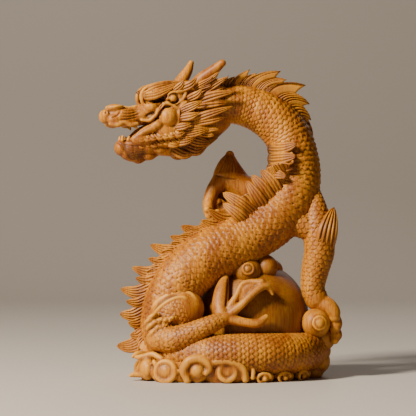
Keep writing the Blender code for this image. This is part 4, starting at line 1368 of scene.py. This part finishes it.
# Rims over the haunch and curls at the knee, as x and z
HAUNCH_RIMS = [
    [(-43.4, 43.5), (-38.5, 49.6), (-31.5, 53.6), (-24.6, 55.2), (-18.6, 53.6), (-13.6, 49)],
    [(-41.8, 40.4), (-36.4, 46.2), (-30.6, 50), (-24.6, 51.6), (-20, 50.6)],
]
KNEE_CURLS = [
    (-42, 39), (-40, 35.4), (-42.4, 33.6), (-37, 36.6), (-38, 32.4), (-33.6, 36.8), (-34.6, 33.2),
    (-30.4, 37.4),
    (-41, 29.6), (-43.4, 37),
]
FAR_HAUNCH = [(-30, 2, 48, 11), (-33, 12, 40, 11), (-34, 21, 30, 9), (-33, 27, 21, 6)]
FAR_SHIN = [(-33, 27, 21, 6), (-40, 20, 17, 5.2), (-46, 10, 13, 4.6), (-48, 3, 9, 4)]
FAR_HIND_TOES = [
    [(-43, -16, 13, 4), (-48, -22, 14.5, 3.4), (-51.5, -26, 16, 2.2), (-54.5, -29, 14.6, 0.9)],
    [(-45, -20, 5, 4), (-50, -25, 4.6, 3.2), (-53, -28, 3.8, 2), (-56, -30, 3, 0.8)],
    [(-46, 6, 8, 4), (-47, -4, 8, 4), (-45, -16, 8, 4)],
]


def tilted(cos: float, sin: float) -> np.ndarray:
    """Axes turned about Y, the first one up, by the angle with this cosine and sine."""
    return np.array([(cos, 0, sin), (0, 1, 0), (-sin, 0, cos)])


@dataclass
class ScaledPart:
    """A stretch of a limb that carries scales.

    Attributes:
        rows: the limb's rows of x, y, z and radius.
        columns: scales around it.
        pitch: length of a row of scales.
        relief: height of a scale's rim.
        reach: how far outside its radius skin still belongs to it.
    """

    rows: list
    columns: int
    pitch: float
    relief: float
    reach: float = 1.6

    def cut(self, shell: Shell) -> None:
        """Lifts the skin nearest the limb's middle line into scales that point to its end."""
        path = flowing(self.rows, 6)
        distance, which, share = to_path(shell.points, path[:, :3])
        step = np.linalg.norm(np.diff(path[:, :3], axis=0), axis=1)
        length = np.concatenate([[0], np.cumsum(step)])
        along = length[which] + share * step[which]
        radius = path[which, 3] + share * (path[which + 1, 3] - path[which, 3])
        side = unit(np.cross(path[-1, :3] - path[0, :3], (0.13, 0.31, 0.94)))
        across, flat = carried_frame(path[:, :3], side)
        out = shell.points - path[which, :3]
        turn = np.arctan2(np.einsum("ij,ij->i", out, flat[which]), np.einsum("ij,ij->i", out, across[which]))
        inside = np.clip((radius + self.reach - distance) / self.reach, 0, 1)
        ends = np.clip(along / 3, 0, 1) * np.clip((length[-1] - along) / 3, 0, 1)
        around = turn / (2 * math.pi) * self.columns
        lay_scales(shell, around, along / self.pitch, inside * ends, self.relief, root=0.7, shade=0.9)


@dataclass
class Legs:
    """Four legs with their elbow tufts, toes and claws."""

    voxel: float = 0.58
    rounds: int = 3
    coarser: float = 0.2  # how much larger the cells of the leg at the back are

    def near_fore(self, finish: Boxwood) -> bpy.types.Object:
        """The foreleg on the viewer's side, from the shoulder down to the paw on the clouds."""
        forms = [limb(rows) for rows in (NEAR_FORELEG, NEAR_ARMPIT, *NEAR_FORE_TOES)]
        shell = fuse("foreleg_near", forms, self.voxel, self.rounds)
        ScaledPart(NEAR_FORELEG, 14, 2.6, 0.6).cut(shell)
        ScaledPart(NEAR_ARMPIT, 14, 2.9, 0.5).cut(shell)
        elbow = leaf(np.array(NEAR_ELBOW, float), *ELBOW_SIZE, unit(ELBOW_FACING), ELBOW_POINT)
        return place("foreleg_near", join([shell, elbow]), finish)

    def far_fore(self, finish: Boxwood) -> bpy.types.Object:
        """The raised foreleg behind the neck, its elbow up and its paw hanging."""
        forms = [limb(rows) for rows in (FAR_FORELEG, FAR_ELBOW, FAR_CALF)]
        forms += [ball(row[:3], row[3]) for row in FAR_KNUCKLES]
        forms += [ball(centre, (8, 2.6, 8)) for centre in FAR_WEB]
        shell = fuse("foreleg_far", forms, self.voxel, self.rounds)
        runs = []
        for k in range(FAR_HAIR_CUTS):
            hair = [(-1.4 + 2.3 * k, 5, 128.5), (1.8 + 1.5 * k, 7, 134), (5 + 0.4 * k, 11, 141)]
            runs.append((0.55, 0.7, hair))
        chisel(shell, [Cut(flowing(rows, 6), *size) for *size, rows in runs + FAR_CUTS], TO_VIEWER)
        return place("foreleg_far", shell, finish)

    def near_hind(self, finish: Boxwood) -> bpy.types.Object:
        """The hind leg on the viewer's side: haunch, shin, and the paw that grips the pearl."""
        centre, radii, tilt = NEAR_HAUNCH
        lean = math.radians(tilt)
        axes = tilted(math.cos(lean), math.sin(lean))
        forms = [ball(centre, radii, axes, 64), *(limb(rows) for rows in (NEAR_SHIN, *NEAR_HIND_TOES))]
        web, web_radii, web_lean = NEAR_WEB
        forms.append(ball(web, web_radii, tilted(*web_lean)))
        forms += self.knee_curls()
        shell = fuse("hind_leg_near", forms, self.voxel, self.rounds)
        ScaledPart(NEAR_SHIN, 15, 2.5, 0.5, 1.2).cut(shell)
        chisel(shell, [Cut(flowing(TOE_GROOVE, 6), 0.9, 1.0)], TO_VIEWER)
        self.dress_haunch(shell, np.array(centre), axes)
        return place("hind_leg_near", shell, finish)

    def knee_curls(self) -> list[Shell]:
        """The tufts at the knee, each a short hooked limb."""
        made = []
        for x, z in KNEE_CURLS:
            rows = [(x + 3, -33.4, z + 1.6, 1.5), (x, -35.6, z + 1.2, 1.6), (x - 2.4, -34.8, z - 1, 1.4)]
            made.append(limb([*rows, (x - 2.6, -33, z - 3.4, 0.7)], 5, 14))
        return made

    def dress_haunch(self, shell: Shell, centre: np.ndarray, axes: np.ndarray) -> None:
        """Carves the haunch: two rims over its top, and small rough scales inside them."""
        rims = [Cut(flowing([(x, -30, z) for x, z in rim], 8), 1.2, -0.8) for rim in HAUNCH_RIMS]
        valley = (np.array(HAUNCH_RIMS[0][:4]) + np.array(HAUNCH_RIMS[1][:4])) / 2
        rims.append(Cut(flowing([(x, -30, z) for x, z in valley], 8), 0.8, 0.8))
        chisel(shell, rims, TO_VIEWER)
        local = (shell.points - centre) @ axes.T
        inside = (local[:, 0] / 14.5) ** 2 + ((local[:, 2] + 1.5) / 9.5) ** 2
        mask = np.clip((1 - inside) * 4, 0, 1) * (shell.normals() @ TO_VIEWER > 0.25)
        mask = mask * np.clip((8 - local[:, 0]) / 4, 0, 1)
        lay_scales(shell, local[:, 2] / 3.0, -local[:, 0] / 2.2, mask, relief=0.6, root=0.6, shade=0.8)

    def far_hind(self, finish: Boxwood) -> bpy.types.Object:
        """The hind leg behind, whose claws show at the foot of the clouds."""
        forms = [limb(rows) for rows in (FAR_HAUNCH, FAR_SHIN, *FAR_HIND_TOES)]
        shell = fuse("hind_leg_far", forms, self.voxel + self.coarser, self.rounds)
        ScaledPart(FAR_HAUNCH, 18, 3.0, 0.5).cut(shell)
        return place("hind_leg_far", shell, finish)

    def build(self, finish: Boxwood) -> None:
        """Builds the four legs."""
        for leg in (self.near_fore, self.far_fore, self.near_hind, self.far_hind):
            leg(finish)


# The pearl and the clouds

CLOUD_LOBES = [
    ((-44, -24, 5), (6, 8, 8)), ((-34, -34, 6), (9, 7.6, 8)), ((-25, -38, 6), (7, 6, 7)),
    ((-15, -40, 8), (9.4, 6.6, 8.4)), ((-2, -40, 6), (9, 6.6, 8)), ((7.6, -41, 7), (9.4, 6.8, 7.6)),
    ((25.5, -36, 3), (7, 6.5, 4.4)), ((38, -29, 3), (7, 6.5, 4.4)), ((49.5, -18, 3.4), (6.6, 7, 4.6)),
    ((57, -4, 4), (8, 9, 7)), ((57, 16, 5), (9, 11, 8)), ((44, 33, 5), (12, 10, 8)),
    ((22, 43, 5), (13, 9, 8)), ((-3, 43, 6), (13, 9, 9)), ((-26, 37, 7), (11, 10, 9)),
    ((-42, 22, 6), (9, 12, 8)), ((-47, 3, 5), (8, 12, 7)),
    ((-15, -42.4, 8), (8.4, 4.6, 8)), ((4.2, -43, 7.4), (11, 5, 7.4)), ((-33.8, -38.4, 7), (7.4, 4.6, 6.8)),
    ((-45, -32, 7.5), (5, 4.6, 6.8)), ((59.4, -12.5, 34.4), (9.2, 9.2, 9.2)), ((64, -3, 25), (8.6, 10, 9)),
    ((63.5, 8, 33), (9, 11, 9)),
    ((61.5, -3, 10), (7.6, 10, 8)), ((56, 16, 18), (9, 10, 9)), ((63, 3, 16), (7, 9, 7)),
]
PEARL_KNOBS = [
    ((16.2, -14.5, 67.4), (9.2, 8, 8.4)), ((28.6, -9.5, 69.4), (7.2, 8, 7.6)), ((32, 4, 67), (7.6, 9, 7)),
]
# Rings on the pearl's knobs: centre, facing, radius, roll and boss
PEARL_RINGS = [
    ((17.0, -21.8, 68.6), (0.1, -1, 0.2), 3.4, 0.75, 2.1),
    ((33.6, -13.6, 70.4), (0.7, -0.7, 0.2), 2.6, 0.7, 1.5),
]
# Scrolls: centre, facing, radius, turns and boss
SCROLLS = [
    ((66, 18, 33), (0.5, 0.9, 0.1), 5.0, 1.2, 2), ((46, 41.5, 7), (0.5, 0.9, 0.2), 5.0, 1.2, 2),
    ((22, 51, 7), (0.1, 1, 0.1), 5.5, 1.2, 2.2), ((-5, 51, 8), (-0.1, 1, 0.1), 5.5, 1.2, 2.2),
    ((-30, 45, 9), (-0.5, 0.9, 0.1), 5.0, 1.2, 2), ((-50.5, 20, 8), (-1, 0.3, 0.1), 4.6, 1.1, 2),
    ((64.5, 16, 9), (1, 0.3, 0.1), 4.6, 1.1, 2),
]
# Rings: centre, facing, radius, roll and boss
RINGS = [
    ((3.8, -46.6, 6.8), (0, -1, 0.1), 4.9, 1.8, 2.7), ((-33.8, -41.6, 6.8), (-0.3, -1, 0.1), 5.9, 1.9, 4.4),
    ((61.2, -21.6, 35), (0.2, -1, 0.1), 4.2, 0.7, 3.2),
]
# Rolls at the front: rows of x, y, z and radius
ROLLS = [
    [(-20.5, -45.4, 2, 2.4), (-22.6, -45.6, 8, 2.8), (-19.8, -46, 13.2, 2.9), (-14, -46.4, 14.9, 2.9),
     (-8.8, -46.8, 12.9, 2.7), (-7, -47, 9.2, 2.2), (-9.2, -47.4, 6.2, 1.6)],
    [(-6, -46.4, 12.6, 2.2), (-2, -46.6, 13, 2.5), (4, -46.8, 13.4, 2.5), (9.8, -46.6, 11.8, 2.5),
     (13.8, -46, 7.8, 2.4), (14.8, -45.4, 2.4, 2.2)],
    [(17.4, -45.2, 12, 0.9), (19.6, -45, 8, 1.3), (19.2, -45, 3, 1.3)],
    [(-41, -37, 12.6, 1.3), (-38.8, -39.4, 8, 1.5), (-40.2, -38.6, 3, 1.5)],
    [(-48.6, -30, 12.4, 1.2), (-50.4, -30, 7.4, 1.4), (-47.6, -32, 3, 1.4)],
    [(-54.6, -27, 15.2, 0.7), (-51, -29, 14.4, 1.6), (-46.8, -30.6, 15.2, 1.9), (-41.6, -32.6, 16.4, 1.9),
     (-36.6, -35.4, 14.2, 1.7)],
    [(-56.4, -27, 3.2, 0.7), (-51.8, -29.4, 4.2, 2.0), (-46.4, -32.6, 4.6, 2.6)],
]
BOSSES = [((-14.4, -45.0, 7.6), 4.6), ((-44.6, -34.8, 7.4), (2.6, 2.4, 4.2))]
SMALL_CURLS = [(25.9, -41.4, 0.3), (38.2, -35.2, 0.55), (49.8, -25.4, 0.9)]


@dataclass
class Clouds:
    """The bed of clouds: a slab, lobes round it, and scrolls on the lobes."""

    centre: tuple[float, float] = (4, 0)
    radii: tuple[float, float] = (49, 41)
    top: float = 9.0
    voxel: float = 0.8

    def slab(self) -> Shell:
        """The slab: an ellipse drawn in a little towards its top, standing on the table."""
        height = np.array([-4, self.top])
        share = np.array([1.0, 0.96])
        turn = circle(96)
        rings = np.stack(
            [
                self.centre[0] + self.radii[0] * share[:, None] * np.cos(turn),
                self.centre[1] + self.radii[1] * share[:, None] * np.sin(turn),
                np.broadcast_to(height[:, None], (2, len(turn))),
            ],
            -1,
        )
        return skin(rings)

    def small_curls(self) -> list[Shell]:
        """The low curls at the right of the front: each a hooked roll round a knob."""
        made = []
        for x, y, turn in SMALL_CURLS:
            right = np.array([math.cos(turn), math.sin(turn), 0])
            out = np.array([math.sin(turn), -math.cos(turn), 0])
            angle = np.linspace(0.1 * math.pi, 1.35 * math.pi, 14)
            path = np.array([x, y, 2.6]) + 4.1 * np.cos(angle)[:, None] * right
            path = path + out * 1.2 + np.array([0, 0, 1.0]) * (3.0 * np.sin(angle))[:, None]
            made.append(limb(np.column_stack([path, np.linspace(1.5, 0.8, 14)]), 3, 14))
            made.append(ball(np.array([x, y, 2.4]) + out * 1.4 + right * 0.6, 1.7))
        return made

    def build(self, finish: Boxwood) -> bpy.types.Object:
        """Fuses the clouds and planes them flat where they stand."""
        forms = [self.slab(), *(ball(centre, radii) for centre, radii in CLOUD_LOBES)]
        for scroll in SCROLLS:
            forms += swirl(*scroll)
        for row in RINGS:
            forms += ring(*row)
        forms += [limb(rows, 8, 16) for rows in ROLLS]
        forms += [ball(centre, radii) for centre, radii in BOSSES]
        forms += self.small_curls()
        shell = fuse("clouds", forms, self.voxel, 2)
        shell.points[:, 2] = np.maximum(shell.points[:, 2], 0.0)
        return place("clouds", shell, finish)


@dataclass
class Pearl:
    """The great pearl inside the coil, with three cloud knobs on its shoulder."""

    centre: tuple[float, float, float] = (20, 5, 36.5)
    radius: float = 36.0
    voxel: float = 0.5
    shade_all_over: float = 0.6  # how much darker than the dragon it is painted all over: painted shade for the shadow that it sits in

    def build(self, finish: Boxwood) -> bpy.types.Object:
        """Lays the fused knobs on the pearl and planes it flat where it stands."""
        forms = [ball(centre, radii) for centre, radii in PEARL_KNOBS]
        for row in PEARL_RINGS:
            forms += ring(*row)
        shell = join([ball(self.centre, self.radius, None, 128), fuse("pearl", forms, self.voxel, 3)])
        shell.points[:, 2] = np.maximum(shell.points[:, 2], 0.0)
        # painted shade all over the pearl, for the shadow that it sits in
        shell.painted_shading = shell.painted_shading + self.shade_all_over
        return place("pearl", shell, finish)


@dataclass
class TailTuft:
    """The three-leaved tuft at the tail's end."""

    leaves: tuple = ((-8, 10), (-1, 14), (6, 11))  # how far each tip swings to the right and rises
    thickness: float = 2.8

    def build(self, finish: Boxwood) -> bpy.types.Object:
        """Lays the leaves side by side."""
        made = []
        for swing, lift in self.leaves:
            rows = [(-1, 33, 69, 3), (4 + swing / 2, 32, 75, 2.6), (4 + swing, 30, 73 + lift, 1)]
            made.append(blade(rows, self.thickness, (0, 1, 0), 12))
        return place("tail_tuft", join(made), finish)


# Studio


@dataclass(frozen=True)
class Studio:
    """A pale floor, soft lights and the camera where the photograph was taken from."""

    camera_at: tuple[float, float, float] = (-0.0079, -1.128, 0.1063)
    lens: float = 154.5
    floor_colour: str = "#b7aea6"
    wall_colour: tuple[float, float, float, float] = (0.42, 0.38, 0.36, 1.0)
    wall_strength: float = 0.11
    flat: tuple[float, float] = (-3.0, 0.9)  # where the floor is level, in metres towards the back
    bend: float = 0.6  # radius of its bend upwards
    lights: tuple = (
        ("key", (-0.74, -0.68, 0.80), 0.22, 39, (1.0, 0.92, 0.78)),
        ("fill", (0.7, -1.1, 0.3), 0.9, 0.6, (1.0, 0.86, 0.72)),
        ("rim", (0.35, 0.8, 0.7), 0.6, 1.6, (1.0, 0.92, 0.84)),
    )

    def floor(self) -> None:
        """A wide plain floor that curves up behind the figure."""
        turn = np.linspace(0, math.pi / 2, 16)[1:]
        level = np.linspace(*self.flat, 30)
        depth = np.concatenate([level, level[-1] + self.bend * np.sin(turn), [level[-1] + self.bend]])
        rise = np.concatenate([0 * level, self.bend * (1 - np.cos(turn)), [3.0]])
        across = np.array([-4.0, 4.0])
        points = np.stack(np.broadcast_arrays(across, depth[:, None], rise[:, None]), -1).reshape(-1, 3)
        index = np.arange(len(points)).reshape(-1, 2)
        faces = np.stack([index[:-1, 0], index[:-1, 1], index[1:, 1], index[1:, 0]], -1)
        mesh = bpy.data.meshes.new("floor")
        mesh.from_pydata(points.tolist(), [], faces.tolist())
        mesh.polygons.foreach_set("use_smooth", np.ones(len(faces), bool))
        material = bpy.data.materials.new("studio_floor")
        material.use_nodes = True
        shader = material.node_tree.nodes["Principled BSDF"]
        shader.inputs["Base Color"].default_value = linear(self.floor_colour)
        shader.inputs["Roughness"].default_value = 0.6
        mesh.materials.append(material)
        floor = bpy.data.objects.new("floor", mesh)
        bpy.context.scene.collection.objects.link(floor)

    def light(self, name: str, place_at: tuple, size: float, watts: float, colour: tuple) -> None:
        """A soft square light that looks at the figure's middle."""
        data = bpy.data.lights.new(name, "AREA")
        data.size, data.energy, data.color = size, watts, colour
        lamp = bpy.data.objects.new(name, data)
        bpy.context.scene.collection.objects.link(lamp)
        lamp.location = place_at
        aim = np.array([0.0, 0.0, 0.1]) - np.array(place_at)
        x, y, z = aim
        lamp.rotation_euler = (math.atan2(math.hypot(x, y), -z), 0, math.atan2(-x, y))

    def camera(self) -> None:
        """The camera looks level along +Y."""
        data = bpy.data.cameras.new("camera")
        data.lens, data.sensor_width = self.lens, 36.0
        camera = bpy.data.objects.new("camera", data)
        bpy.context.scene.collection.objects.link(camera)
        camera.location = self.camera_at
        camera.rotation_euler = (math.pi / 2, 0, 0)
        bpy.context.scene.camera = camera

    def build(self) -> None:
        """Sets up the floor, world, lights and camera."""
        self.floor()
        world = bpy.data.worlds.new("studio")
        world.use_nodes = True
        world.node_tree.nodes["Background"].inputs[0].default_value = self.wall_colour
        world.node_tree.nodes["Background"].inputs[1].default_value = self.wall_strength
        bpy.context.scene.world = world
        for row in self.lights:
            self.light(*row)
        self.camera()


def main() -> None:
    """Builds the figure's pieces in order."""
    logging.basicConfig(level=logging.INFO, format="%(message)s")
    finish = Boxwood()
    spine = Spine(RING_SPACING)
    Studio().build()
    Body(spine).build(finish)
    crests(spine, finish)
    head = Head()
    head.build(finish)
    head.horns(finish)
    Mane().build(finish)
    Legs().build(finish)
    Pearl().build(finish)
    Clouds().build(finish)
    TailTuft().build(finish)


if __name__ == "__main__":
    main()
